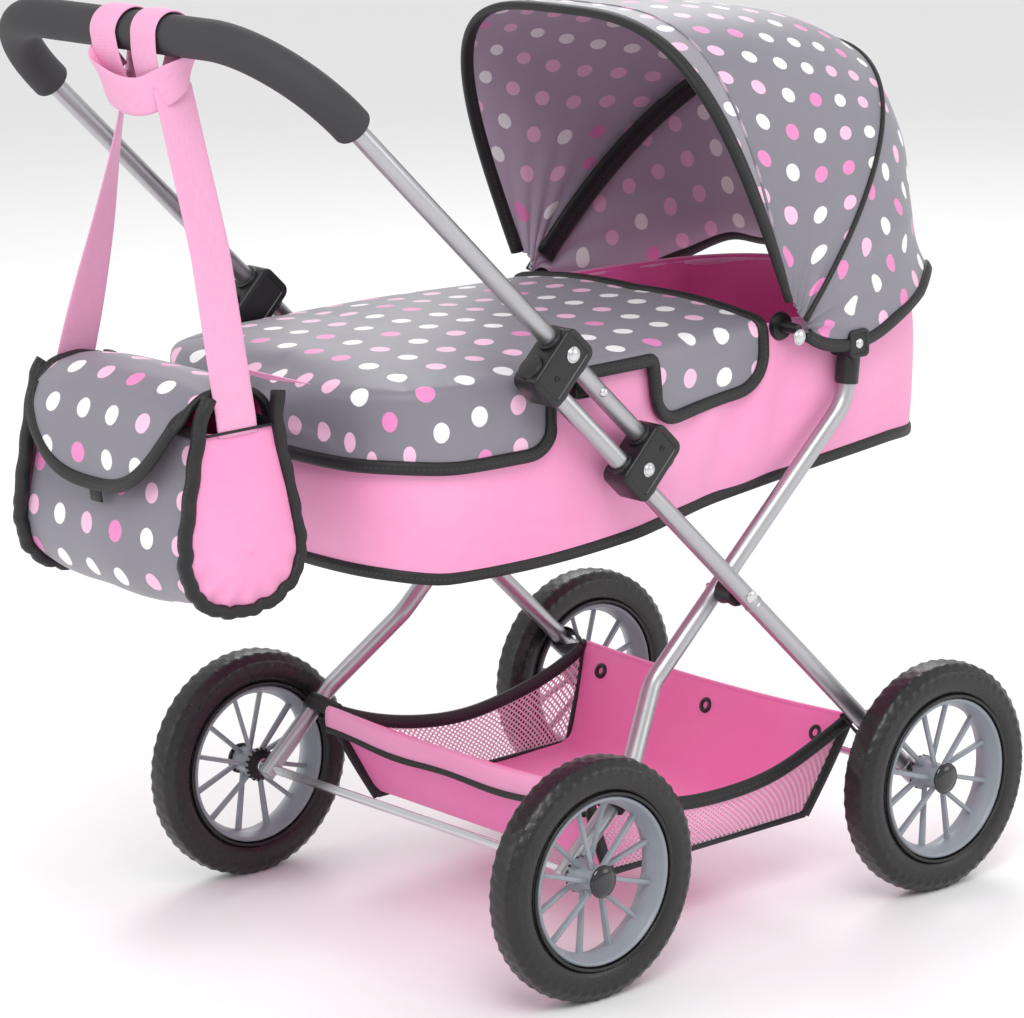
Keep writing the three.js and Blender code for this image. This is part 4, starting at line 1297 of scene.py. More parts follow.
# ---------------------------------------------------------------- frame
class LegPlane:
    """The plane of the front legs and handle arms, measured from the scissor pivot."""

    def __init__(self) -> None:
        """Finds the pivot and the legs' distance from the middle."""
        self.pivot = node_centre("cross_pin_L")
        self.frame_y = node_centre("front_leg_L").y / MM

    def point(self, up: float, out: float, y: float) -> Vector:
        """The point so far up the leg and square out from it, in metres.

        Args:
            up: millimetres up the leg.
            out: millimetres square to it, towards the hood.
            y: millimetres from the middle plane.

        Returns:
            The point.
        """
        half = math.sqrt(0.5) * MM
        return Vector((self.pivot.x + (out - up) * half, y * MM, self.pivot.z + (out + up) * half))

    def up(self, node: str) -> float:
        """How far up the leg a node's middle is, in millimetres."""
        away = node_centre(node) - self.pivot
        return (away.z - away.x) * math.sqrt(0.5) / MM

    def lie(self, up: float, out: float, y: float) -> Matrix:
        """Turns a model whose X is outward and Z up the leg into place.

        Args:
            up: millimetres up the leg.
            out: millimetres square to it.
            y: millimetres from the middle plane.

        Returns:
            The matrix.
        """
        half = math.sqrt(0.5)
        basis = Matrix(((half, 0, -half), (0, 1, 0), (half, 0, half)))
        return Matrix.Translation(self.point(up, out, y)) @ basis.to_4x4()


def on_both_sides(piece: Obj, stem: str, stuff: Stuff, body: str, *nodes: str) -> None:
    """Dresses a left piece and its mirrored twin.

    Args:
        piece: the left piece.
        stem: the pieces' name without the letter.
        stuff: their finish.
        body: their body, with a * where the side's letter or word goes.
        nodes: the CAD nodes they replace, with a * where the letter goes.
    """
    piece.name = f"{stem}_L"
    right = twin(piece, f"{stem}_R", MIRROR_Y, flip=True)
    for made, letter, word in ((piece, "L", "left"), (right, "R", "right")):
        dress(made, stuff, body.replace("*", word), *[node.replace("*", letter) for node in nodes])


@dataclass
class Frame:
    """Front and rear legs with their pins and spacers, the clamps, and the sliding handle.

    Attributes:
        tube: the tubes' radius.
        arm: how far the handle arm is from the front leg.
        crossbar: how far up the leg the crossbar is.
        grip_end: how far up the leg the foam starts.
    """

    tube: float = 5.8
    arm: float = 20.7
    crossbar: float = 505.0
    grip_end: float = 435.0
    grip: float = 11.8
    handle_bend: float = 65.0
    rear_bend: float = 34.0
    clamp_size: tuple[float, float, float] = (44.5, 21.0, 26.0)
    clamp_middle: float = 10.75
    rear_y: float = 121.4
    rear_foot_y: float = 147.0
    plane: LegPlane = field(default_factory=LegPlane)

    def build(self) -> None:
        """Makes every part of the frame."""
        self.front_legs()
        self.rear_legs()
        self.handle()
        self.clamps()
        self.pivots()

    def front_legs(self) -> None:
        """The straight front legs, each with a joint ring below the pivot and an end ferrule."""
        plane, y = self.plane, self.plane.frame_y
        away = node_centre("axle_front") - plane.pivot
        foot = (away.z - away.x) * math.sqrt(0.5) / MM
        top = plane.up("upper_clamp_L") + 7
        leg = bend_tube("leg", [plane.point(foot - 7, 0, y), plane.point(top, 0, y)], self.tube, 1, 28)
        round_off(leg, 1.0, 2, 60)
        ring = bend_tube("ring", [plane.point(-9.6, 0, y), plane.point(-8.2, 0, y)], self.tube + 0.35, 1, 28)
        round_off(ring, 0.3, 1, 60)
        on_both_sides(join_up("leg", [leg, ring]), "front_leg_tube", Stuff.TUBE, "front_frame",
                      "front_leg_*")
        ferrule = bend_tube("ferrule", [plane.point(foot - 8.2, 0, y), plane.point(foot + 9, 0, y)],
                            self.tube + 0.7, 1, 28)
        round_off(ferrule, 1.2, 3, 60)
        on_both_sides(ferrule, "front_leg_ferrule", Stuff.TUBE, "front_frame")

    def rear_legs(self) -> None:
        """The bent rear legs, from the rear axle to the cot's hinge."""
        axle = node_centre("axle_rear")
        top = node_centre("cot_bracket_L")
        foot = Vector((axle.x - 4.6 * MM, self.rear_foot_y * MM, axle.z - 4 * MM))
        corners = [foot, spot(-97, self.rear_foot_y, 118.7), spot(-52, self.rear_y, 167),
                   spot(116, self.rear_y, 318), Vector((top.x, self.rear_y * MM, top.z + 5 * MM))]
        leg = bend_tube("leg", corners, self.tube, self.rear_bend, 28, 10)
        round_off(leg, 1.0, 2, 60)
        on_both_sides(leg, "rear_leg_tube", Stuff.TUBE, "rear_frame", "rear_leg_*")

        cap = self.block("cap", (17.0, 14.4, 18.0), 3.6, 0.9)
        cap.data.transform(Matrix.Translation((top.x, (self.rear_y + 1.6) * MM, top.z)))
        sleeve = bend_tube("sleeve", [spot(117.2, self.rear_y, 329), spot(120, self.rear_y, 350)],
                           self.tube + 1.7, 1, 28)
        round_off(sleeve, 0.9, 2, 60)
        on_both_sides(join_up("cap", [cap, sleeve]), "leg_cap_cover", Stuff.PLASTIC, "rear_frame",
                      "leg_cap_*")

    def handle(self) -> None:
        """The telescoping handle: one bent tube, and its foam grip with rounded ends."""
        plane, y = self.plane, self.plane.frame_y
        foot = plane.up("lower_clamp_L") - 8

        def path(start: float) -> list[Vector]:
            """The handle's corners from so far up one arm to the same place on the other."""
            return [plane.point(start, self.arm, -y), plane.point(self.crossbar, self.arm, -y),
                    plane.point(self.crossbar, self.arm, y), plane.point(start, self.arm, y)]

        tube = bend_tube("handle_bent_tube", path(foot), self.tube, self.handle_bend, 28, 12)
        round_off(tube, 0.8, 2, 60)
        dress(tube, Stuff.TUBE, "handle", "handle_tube")
        foam = bend_tube("handle_foam", path(self.grip_end), self.grip, self.handle_bend, 40, 18)
        round_off(foam, 3.4, 5, 60)
        dress(foam, Stuff.GRIP, "handle", "handle_grip")
        button = self.stud(3.2, 4.4, 3.2)
        button.data.transform(Matrix.Translation(plane.point(plane.up("lock_button_L"), self.arm, y)))
        button.name = "lock_button_dome_L"
        right = twin(button, "lock_button_dome_R", MIRROR_Y, flip=True)
        dress(button, Stuff.STEEL, "lock_button_left", "lock_button_L")
        dress(right, Stuff.STEEL, "lock_button_right", "lock_button_R")

    def stud(self, radius: float, high: float, start: float, steps: int = 28) -> Obj:
        """A domed rivet that stands out along Y.

        Args:
            radius: its radius.
            high: how far it stands out.
            start: where it starts along Y.
            steps: how many steps a turn has.

        Returns:
            The rivet.
        """
        section = [(0, start), (radius, start), (radius * 1.02, start + high * 0.3)]
        section += [(radius * math.cos(a), start + high * (0.35 + 0.65 * math.sin(a)))
                    for a in np.linspace(0.25, math.pi / 2 - 0.2, 5)]
        section.append((0, start + high))
        stud = lathe("stud", section, Vector(), steps)
        soften(stud, 50.0)
        return stud

    def block(self, name: str, size: tuple[float, float, float], corner: float, edge: float) -> Obj:
        """A moulded block with rounded corners, soft edges and a sunk panel on each face along Y.

        Args:
            name: its name.
            size: its sides.
            corner: the radius of its corners seen along Y.
            edge: the radius of the edges round its Y faces.

        Returns:
            The block, about the origin.
        """
        clear_bench()
        bpy.ops.mesh.primitive_cube_add(size=1.0, scale=[side * MM for side in size])
        block = keep_place(name)
        edit(block)
        grasp(block, edges=lambda e: abs(e.verts[0].co.y - e.verts[1].co.y) > size[1] * MM * 0.9)
        bpy.ops.mesh.bevel(offset=corner * MM, segments=5, affect="EDGES")
        grasp(block, faces=lambda f: abs(f.normal.y) > 0.9)
        bpy.ops.mesh.bevel(offset=edge * MM, segments=3, affect="EDGES")
        grasp(block, faces=lambda f: abs(f.normal.y) > 0.99 and f.calc_area() > size[0] * size[2] * 4e-7)
        bpy.ops.mesh.inset(thickness=corner * 0.45 * MM, depth=0)
        bpy.ops.mesh.inset(thickness=0.5 * MM, depth=-0.6 * MM)
        tidy_mesh(block)
        soften(block, 35.0)
        return block

    def clamps(self) -> None:
        """The two moulded clamps on each side, with their collars and rivets."""
        plane, y = self.plane, self.plane.frame_y
        for which, rivet_out, rivet_r, dimple_out in (("upper", self.arm, 4.0, 3.0),
                                                      ("lower", 6.0, 3.4, 22.0)):
            up = plane.up(f"{which}_clamp_L")
            body = "front_frame" if which == "upper" else "handle"
            block = self.block("clamp", self.clamp_size, 6.0, 1.5)
            block.data.transform(plane.lie(up, self.clamp_middle, y))
            parts = [block]
            for out in (0.0, self.arm):
                reach = self.clamp_size[2] / 2 + 2.2
                collar = bend_tube("collar", [plane.point(up - reach, out, y), plane.point(up + reach, out, y)],
                                   self.tube + 2.4, 1, 28)
                round_off(collar, 0.9, 3, 60)
                parts.append(collar)
            face = self.clamp_size[1] / 2
            dimple = [(1.1, face - 1.2), (1.9, face - 1.2), (2.0, face - 0.3), (1.5, face), (1.1, face - 0.3)]
            ring = lathe("dimple", dimple, Vector(), 20, closed=True)
            ring.data.transform(Matrix.Translation(plane.point(up, dimple_out, y)))
            parts.append(ring)
            on_both_sides(join_up("clamp", parts), f"{which}_clamp_block", Stuff.PLASTIC, body,
                          f"{which}_clamp_*")
            rivet = join_up("rivet", [self.stud(rivet_r, 1.9, face - 0.4), self.washer(rivet_r, face)])
            rivet.data.transform(Matrix.Translation(plane.point(up, rivet_out, y)))
            on_both_sides(rivet, f"{which}_clamp_stud", Stuff.STEEL, body, f"{which}_clamp_rivet_*")

    def washer(self, radius: float, start: float) -> Obj:
        """The thin rolled ring round a rivet's head."""
        section = [(radius * 0.9, start - 0.8), (radius + 1.0, start - 0.8), (radius + 1.0, start - 0.1),
                   (radius + 0.5, start + 0.3), (radius * 0.9, start + 0.2)]
        ring = lathe("washer", section, Vector(), 28, closed=True)
        soften(ring, 40.0)
        return ring

    def pivots(self) -> None:
        """The scissor pivot's spacers and pins, and the cot's hooks, brackets and hinge screws."""
        plane, y = self.plane, self.plane.frame_y
        inner, outer = self.rear_y + self.tube + 0.2, y - self.tube - 0.2
        waist = (inner + outer) / 2
        section = [(2.6, inner), (8.0, inner), (8.4, inner + 1.2), (7.2, waist), (8.4, outer - 1.2),
                   (8.0, outer), (2.6, outer)]
        spacer = lathe("spacer", section, Vector(), 36, closed=True)
        soften(spacer, 40.0)
        spacer.data.transform(Matrix.Translation((plane.pivot.x, 0, plane.pivot.z)))
        on_both_sides(spacer, "pivot_spacer_collar", Stuff.PLASTIC, "front_frame", "pivot_spacer_*")
        pin = join_up("pin", [self.stud(3.4, 1.4, y + self.tube - 0.1), self.washer(3.2, y + self.tube + 0.5),
                              self.stud(2.0, 6.0, self.rear_y - 8.5)])
        pin.data.transform(Matrix.Translation((plane.pivot.x, 0, plane.pivot.z)))
        on_both_sides(pin, "cross_pin_head", Stuff.STEEL, "front_frame", "cross_pin_*")

        hook_low, hook_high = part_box("foot_hook_L")
        span = (hook_high - hook_low) / MM
        hook = self.block("hook", (span.x + 4, span.y, span.z), 2.8, 0.8)
        hook.data.transform(Matrix.Translation((hook_low + hook_high) / 2))
        on_both_sides(hook, "foot_hook_block", Stuff.PLASTIC, "cot", "foot_hook_*")

        hinge = node_centre("cot_bracket_L")
        bracket_low, bracket_high = 108.6, self.rear_y - self.tube
        bracket = self.block("bracket", (20.0, bracket_high - bracket_low, 17.0), 4.0, 0.8)
        bracket.data.transform(Matrix.Translation((hinge.x, (bracket_low + bracket_high) / 2 * MM, hinge.z)))
        inside = self.block("inside", (30.0, 3.0, 13.0), 5.0, 0.7)
        inside.data.transform(Matrix.Translation((hinge.x - 3 * MM, 107.6 * MM, hinge.z + 2 * MM)))
        on_both_sides(join_up("bracket", [bracket, inside]), "cot_bracket_block", Stuff.PLASTIC, "cot",
                      "cot_bracket_*")
        screw = self.stud(3.6, 1.8, -1.0)
        screw.data.transform(Matrix.Translation((hinge.x, 105.6 * MM, hinge.z + 2 * MM))
                             @ Matrix.Rotation(math.pi, 4, "X"))
        outer_head = self.stud(3.2, 1.6, self.rear_y + self.tube + 1.9)
        outer_head.data.transform(Matrix.Translation((hinge.x, 0, hinge.z)))
        on_both_sides(join_up("screw", [screw, outer_head]), "cot_hinge_screw", Stuff.STEEL, "cot")

        hood = node_centre("hood_pivot_L")
        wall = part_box("hood_pivot_L")[0].y / MM
        section = [(0, wall), (9.0, wall), (9.2, wall + 1.0), (8.2, wall + 3.0), (4.0, wall + 3.6),
                   (3.0, 130.6), (0, 130.9)]
        disc = lathe("disc", section, Vector((hood.x, 0, hood.z)), 36)
        soften(disc, 40.0)
        on_both_sides(disc, "hood_pivot_disc", Stuff.PLASTIC, "cot", "hood_pivot_*")
        snap = join_up("snap", [self.stud(4.2, 1.9, 134.4), self.washer(4.0, 134.8)])
        snap.data.transform(Matrix.Translation((hood.x - 3 * MM, 0, hood.z - 4 * MM)))
        on_both_sides(snap, "hood_snap", Stuff.STEEL, "cot")


# ---------------------------------------------------------------- cloth paths
def signed_power(value: Points, power: Points | float) -> Points:
    """The value's size raised to a power, with its sign kept."""
    return np.sign(value) * np.abs(value) ** power


def even(points: Points, count: int, closed: bool = False) -> Points:
    """Points at equal steps along a path.

    Args:
        points: the path's own points.
        count: how many points are wanted.
        closed: whether the path is a ring.

    Returns:
        The evenly spaced points.
    """
    line = np.vstack([points, points[:1]]) if closed else np.asarray(points, float)
    along = np.concatenate([[0.0], np.cumsum(np.linalg.norm(np.diff(line, axis=0), axis=1))])
    wanted = np.linspace(0.0, along[-1], count + 1)[:-1] if closed else np.linspace(0.0, along[-1], count)
    return np.stack([np.interp(wanted, along, line[:, k]) for k in range(line.shape[1])], axis=1)


def curve(x: Points | float, knots: Sequence[float], values: Sequence[float]) -> Points:
    """A smooth curve through a few values, held level past its ends.

    Args:
        x: where it is wanted.
        knots: where the values are, rising.
        values: the values.

    Returns:
        The curve at x.
    """
    knots, values = np.asarray(knots, float), np.asarray(values, float)
    slope = np.gradient(values, knots)
    x = np.clip(x, knots[0], knots[-1])
    i = np.clip(np.searchsorted(knots, x) - 1, 0, len(knots) - 2)
    step = knots[i + 1] - knots[i]
    t = (x - knots[i]) / step
    return ((1 + 2 * t) * (1 - t) ** 2 * values[i] + t * (1 - t) ** 2 * step * slope[i]
            + t * t * (3 - 2 * t) * values[i + 1] - t * t * (1 - t) * step * slope[i + 1])


def relax(points: Points, times: int, closed: bool = False) -> Points:
    """A path with its corners eased by averaging neighbours, its ends kept where it is open."""
    eased = np.array(points, float)
    for _ in range(times):
        mean = (np.roll(eased, 1, axis=0) + np.roll(eased, -1, axis=0) + 2 * eased) / 4
        if not closed:
            mean[0], mean[-1] = eased[0], eased[-1]
        eased = mean
    return eased


def close_ends(piece: Obj) -> None:
    """Fills a piece's open rings, merges doubles and points its faces outward."""
    edit(piece)
    bpy.ops.mesh.select_all(action="SELECT")
    bpy.ops.mesh.remove_doubles(threshold=2e-6)
    bpy.ops.mesh.select_all(action="DESELECT")
    bpy.ops.mesh.select_non_manifold(extend=False, use_boundary=True, use_wire=False,
                                     use_multi_face=False, use_non_contiguous=False, use_verts=False)
    bpy.ops.mesh.edge_face_add()
    tidy_mesh(piece)


def near_path(piece: Obj, path: Points, reach: float) -> Points:
    """For each vertex, 1 on a path and 0 from reach millimetres away."""
    co = np.array([v.co for v in piece.data.vertices]) / MM
    co[:, 0] -= MIDWAY_X / MM
    away = np.full(len(co), 1e9)
    for point in path:
        away = np.minimum(away, np.linalg.norm(co - point, axis=1))
    return 1 - smooth(away, reach * 0.4, reach)


# ---------------------------------------------------------------- carrycot
@dataclass
class Carrycot:
    """The soft carrycot: its pink wall, lining, floor board and mattress.

    Attributes:
        middle: where its foot half meets its head half, along X.
        foot: how far its foot reaches.
        head: how far its head reaches.
        rim: the height of its rim.
    """

    middle: float = -30.0
    foot: float = -252.0
    head: float = 234.0
    flare: float = 10.0
    foot_half: float = 126.0
    head_half: float = 113.0
    rim: float = 375.0
    around: int = 184
    tape: float = 8.0

    def ring(self, widen: float, count: int, flare: float = 0.0) -> Points:
        """Points evenly round the cot.

        Args:
            widen: how much it is widened all round.
            count: how many points are wanted.
            flare: the share of the head's flare.

        Returns:
            The points as (x, y), from the middle of the head.
        """
        turn = np.linspace(0, math.tau, 2400, endpoint=False)
        c, s = np.cos(turn), np.sin(turn)
        power = 2 / np.where(c < 0, 5.5, 4.0)
        head = self.head + self.flare * flare - self.middle
        reach = np.where(c < 0, self.middle - self.foot, head) + widen
        x = self.middle + reach * signed_power(c, power)
        half = lerp(self.foot_half, self.head_half, smooth(x, -70, 20)) + widen
        return even(np.stack([x, half * signed_power(s, power)], axis=1), count, closed=True)

    def hem(self, x: Points) -> Points:
        """The height of the hem at x: lowest near the foot, rising to the head."""
        return 258 + 21 * smooth(x, -150, 175) - 5 * smooth(x, 175, 240) + 7 * smooth(-x, 200, 252)

    def at(self, widen: float, z: Points | float, flare: float = 0.0) -> Points:
        """A ring of points in space at a height or heights."""
        plan = self.ring(widen, self.around, flare)
        return np.column_stack([plan, np.broadcast_to(z, len(plan))])

    def build(self) -> None:
        """Makes the cot's pieces."""
        self.wall()
        self.lining()
        self.edges()
        self.board()
        self.mattress()

    def wall(self) -> None:
        """The outer wall, loose in soft upright folds between rim and hem, and the base under it."""
        rows = []
        for share in np.linspace(0, 1, 22):
            flat = self.ring(lerp(0.0, -6.0, share), self.around, share)
            x, y = flat[:, 0], flat[:, 1]
            z = lerp(self.rim, self.hem(x), share)
            loose = math.sin(math.pi * share)
            folds = 2.3 * np.sin(x / 7.5 + share * 3.0) * smooth(x, -40, 0) * (1 - smooth(x, 70, 110))
            folds += 1.2 * np.sin(x / 19.0 + 1.2 - share) + 0.8 * np.sin(y / 21.0 + share * 2)
            normal = self.outward(flat)
            push = loose * (folds * 0.95 + 4.2) + 0.7 * math.sin(share * 9) * np.sin(x / 33.0)
            rows.append(np.column_stack([flat + normal * push[:, None], z]))
        for widen, drop in ((-9, -1.0), (-22, 0.0), (-50, 0.6), (-80, 0.8), (-104, 0.8)):
            flat = self.ring(widen, self.around, 1.0)
            rows.append(np.column_stack([flat, self.hem(flat[:, 0]) + drop + 2.0]))
        piece = grid_piece("cot_wall", np.array(rows), wrap=True)
        piece.data.materials.append(Stuff.PINK.material)
        close_ends_of_base(piece, 0.2)
        face_out(piece, spot(-36, 0, 320))
        thicken(piece, 1.4)
        dress(piece, Stuff.PINK, "cot", "cot_body")

    def outward(self, flat: Points) -> Points:
        """At each point of a ring, the unit normal that points away from the cot."""
        ahead = np.roll(flat, -1, axis=0) - np.roll(flat, 1, axis=0)
        ahead /= np.linalg.norm(ahead, axis=1)[:, None]
        return np.column_stack([ahead[:, 1], -ahead[:, 0]])

    def lining(self) -> None:
        """The lining: the wall's pink deepened as painted shade and painted pink bounce light, gathered in soft folds
        down to the floor.
        """
        rows = []
        for share in np.linspace(0, 1, 14):
            flat = self.ring(lerp(-2.4, -8.0, share), self.around, share)
            x, y = flat[:, 0], flat[:, 1]
            folds = 1.3 * np.sin(x / 6.5 + 2 * share) + 1.3 * np.sin(y / 7.5 - share) + 0.8 * np.sin(x / 17.0)
            push = -(3.2 + folds) * math.sin(math.pi * share ** 0.8) ** 0.7
            rows.append(np.column_stack([flat + self.outward(flat) * push[:, None],
                                         np.full(len(flat), lerp(self.rim - 0.8, 287.0, share))]))
        piece = grid_piece("cot_lining", np.array(rows), wrap=True)
        face_out(piece, spot(-36, 0, 330))
        piece.data.flip_normals()
        thicken(piece, 0.9)
        dress(piece, Stuff.LINING, "cot")

    def edges(self) -> None:
        """The black binding round the hem and the rolled pink rim."""
        rise = np.tile((0.0, 0.0, 1.0), (self.around, 1))
        low = self.at(-6.2, 0.0, 1.0)
        low[:, 2] = self.hem(low[:, 0]) + 1.6
        binding = tape_along("cot_hem_binding", low, rise, self.tape, thick=4.6, closed=True)
        dress(binding, Stuff.BINDING, "cot")
        rim = tape_along("cot_rim_roll", self.at(-1.8, self.rim - 4.4), rise, 5.0, thick=3.4, closed=True)
        dress(rim, Stuff.PINK, "cot")

    def board(self) -> None:
        """The stiff floor board with rounded edges."""
        rings = [self.at(-14, 283.0), self.at(-12.6, 283.5), self.at(-12.6, 285.5), self.at(-14, 286.0)]
        piece = grid_piece("cot_floor_board", np.array(rings), wrap=True)
        close_ends(piece)
        soften(piece, 50)
        dress(piece, Stuff.BOARD, "cot", "cot_board")

    def mattress(self) -> None:
        """The thin mattress: a closed pad, puffed out with its underside held."""
        shape = ((287.0, -104), (286.6, -80), (286.5, -52), (286.6, -26), (288.6, -16), (293.0, -13),
                 (299.0, -13.5), (302.4, -18), (303.4, -28), (303.6, -52), (303.6, -80), (303.4, -104))
        piece = grid_piece("mattress_pad", np.array([self.at(widen, z) for z, widen in shape]), wrap=True)
        close_ends(piece)
        subdivide(piece)
        low = piece.data.vertices
        held = np.array([1.0 if v.co.z < 0.2875 else 0.0 for v in low])
        Puff(pressure=3.0, cap=5.0, frames=16).run(piece, held)
        soften(piece, 180)
        # The mattress takes the lining's painted shade colour.
        dress(piece, Stuff.LINING, "cot", "mattress")


def close_ends_of_base(piece: Obj, below: float) -> None:
    """Fills the small ring left in the middle of a base.

    Args:
        piece: the piece, whose other open ring is its mouth.
        below: how near the base's own middle the ring's edges are, in metres.
    """
    middle = sum((v.co for v in piece.data.vertices), Vector()) / len(piece.data.vertices)
    low = min(v.co.z for v in piece.data.vertices)
    edit(piece)
    grasp(piece, edges=lambda e: e.is_boundary and all(
        abs(v.co.y - middle.y) < below and v.co.z < low + 0.035 for v in e.verts))
    bpy.ops.mesh.edge_face_add()
    tidy_mesh(piece)


# ---------------------------------------------------------------- cover
@dataclass
class Cover:
    """The padded dotted cover over the foot of the cot, with two skirts a side and bound edges.

    Attributes:
        cot: the cot that it lies over.
        head: where its head edge lies, along X.
        slit: where each side's slit starts and ends, along X.
        low: the height of the foot skirt's hem.
    """

    cot: Carrycot
    head: float = 52.0
    slit: tuple[float, float] = (-136.0, -53.0)
    low: float = 326.0
    spine_end: float = -172.0
    over: float = 4.6
    top: float = 384.0
    thick: float = 3.0

    def build(self) -> None:
        """Makes the cover and its binding."""
        rim = self.rim_path()
        x, y = rim[:, 0], rim[:, 1]
        ahead = np.gradient(rim, axis=0)
        ahead /= np.linalg.norm(ahead, axis=1)[:, None]
        out = np.column_stack([ahead[:, 1], -ahead[:, 0]])
        spine = np.column_stack([np.clip(x, self.spine_end, self.head), np.zeros(len(x))])
        inset = rim - out * 9.0
        rows, flats = [], []
        for share in np.linspace(0, 1, 15):
            flat = spine + (inset - spine) * share
            z = self.top - 5.0 * share ** 2.4 + 1.4 * np.sin(flat[:, 0] / 23.0) * math.sin(math.pi * share)
            z = z - 1.0 * smooth(-flat[:, 0], 150, 250)
            rows.append(np.column_stack([flat, z]))
            flats.append(flat)
        edge_z = rows[-1][:, 2]
        for turn in np.radians((22, 45, 68, 90)):
            flat = inset + out * 9.0 * math.sin(turn)
            rows.append(np.column_stack([flat, edge_z - 8.0 * (1 - math.cos(turn))]))
            flats.append(inset + out * 13.0 * turn / (math.pi / 2))
        start = rows[-1][:, 2]
        hem = self.hem(x)
        for share in np.linspace(0, 1, 14)[1:]:
            z = lerp(start, hem, share)
            drop = start - z
            billow = 1.3 * np.sin(x / 17.0 + 1.0) * math.sin(math.pi * share) * smooth(drop, 4, 20)
            flat = rim + out * (billow + 0.8 * smooth(drop, 0, 30))[:, None]
            rows.append(np.column_stack([flat, z]))
            flats.append(inset + out * (13.0 + drop)[:, None])
        grid = np.array(rows)
        piece = grid_piece("cover_quilt", grid, flat=np.array(flats))
        piece.data.materials.append(Stuff.DOTTED.material)
        edit(piece)
        tidy_mesh(piece)
        face_out(piece, spot(-80, 0, 340))
        thicken(piece, self.thick, lining=Stuff.LINING)
        border, ups = self.border(grid)
        Puff(pressure=2.2, cap=4.0, frames=18, stiffness=12).run(piece, near_path(piece, border, 12.0))
        soften(piece, 70)
        dress(piece, Stuff.DOTTED, "cot", "cover")
        binding = tape_along("cover_binding", border, ups, 8.4, thick=5.4, closed=True)
        dress(binding, Stuff.BINDING, "cot")

    def rim_path(self) -> Points:
        """The line where the cover turns down, from its head edge on one side round the foot to the other."""
        fine = self.cot.ring(self.over, 2400)[:1201]
        side = fine[fine[:, 0] <= self.head]
        steps = np.concatenate([[0.0], np.cumsum(np.linalg.norm(np.diff(side, axis=0), axis=1))])
        far, near = self.head - self.slit[1], self.head - self.slit[0]
        wanted = np.unique(np.concatenate([
            np.linspace(0, 22, 9), np.linspace(22, far - 22, 18), np.linspace(far - 22, far + 1.5, 14),
            np.linspace(far + 1.5, near - 1.5, 17), np.linspace(near - 1.5, near + 20, 13),
            np.linspace(near + 20, steps[-1], 58)]))
        half = np.stack([np.interp(wanted, steps, side[:, k]) for k in (0, 1)], axis=1)
        half[-1, 1] = 0.0
        return np.vstack([half, half[-2::-1] * (1, -1)])

    def hem(self, x: Points) -> Points:
        """The height of the skirts' hem at x, with the slits and the rounded corners."""
        far, near = self.slit
        second = 328 + 8 * (x - near) / (self.head - near)
        for edge, radius in ((x - near, 20.0), (self.head - x, 26.0)):
            inside = np.clip(radius - edge, 0, radius)
            second = second + radius - np.sqrt(radius ** 2 - inside ** 2)
        foot = self.low + 4.0 * smooth(-x, 200, 250)
        inside = np.clip(18.0 - (far - x), 0, 18.0)
        foot = foot + 18.0 - np.sqrt(18.0 ** 2 - inside ** 2)
        return np.where(x >= near, second, np.where(x <= far, foot, 368.6))

    def border(self, grid: Points) -> tuple[Points, Points]:
        """The cover's edge as a ring, a little inside it, and the way the cloth runs from it.

        Args:
            grid: the cover's points.

        Returns:
            The ring's points, and at each the direction into the cloth.
        """
        last = grid[1:, -1][::-1]
        first = grid[:, 0]
        line = np.vstack([grid[-1, :-1], last, first[:-1]])
        into = np.vstack([np.tile((0, 0, 1.0), (len(grid[0]) - 1, 1)),
                          np.tile((-1.0, 0, 0), (len(last) + len(first) - 1, 1))])
        into = relax(into, 6, closed=True)
        into /= np.linalg.norm(into, axis=1)[:, None]
        stacked = even(np.hstack([line, into * 0.01]), 620, closed=True)
        ring, into = stacked[:, :3], stacked[:, 3:]
        into = into / np.linalg.norm(into, axis=1)[:, None]
        return relax(ring + into * 2.6, 3, closed=True), into


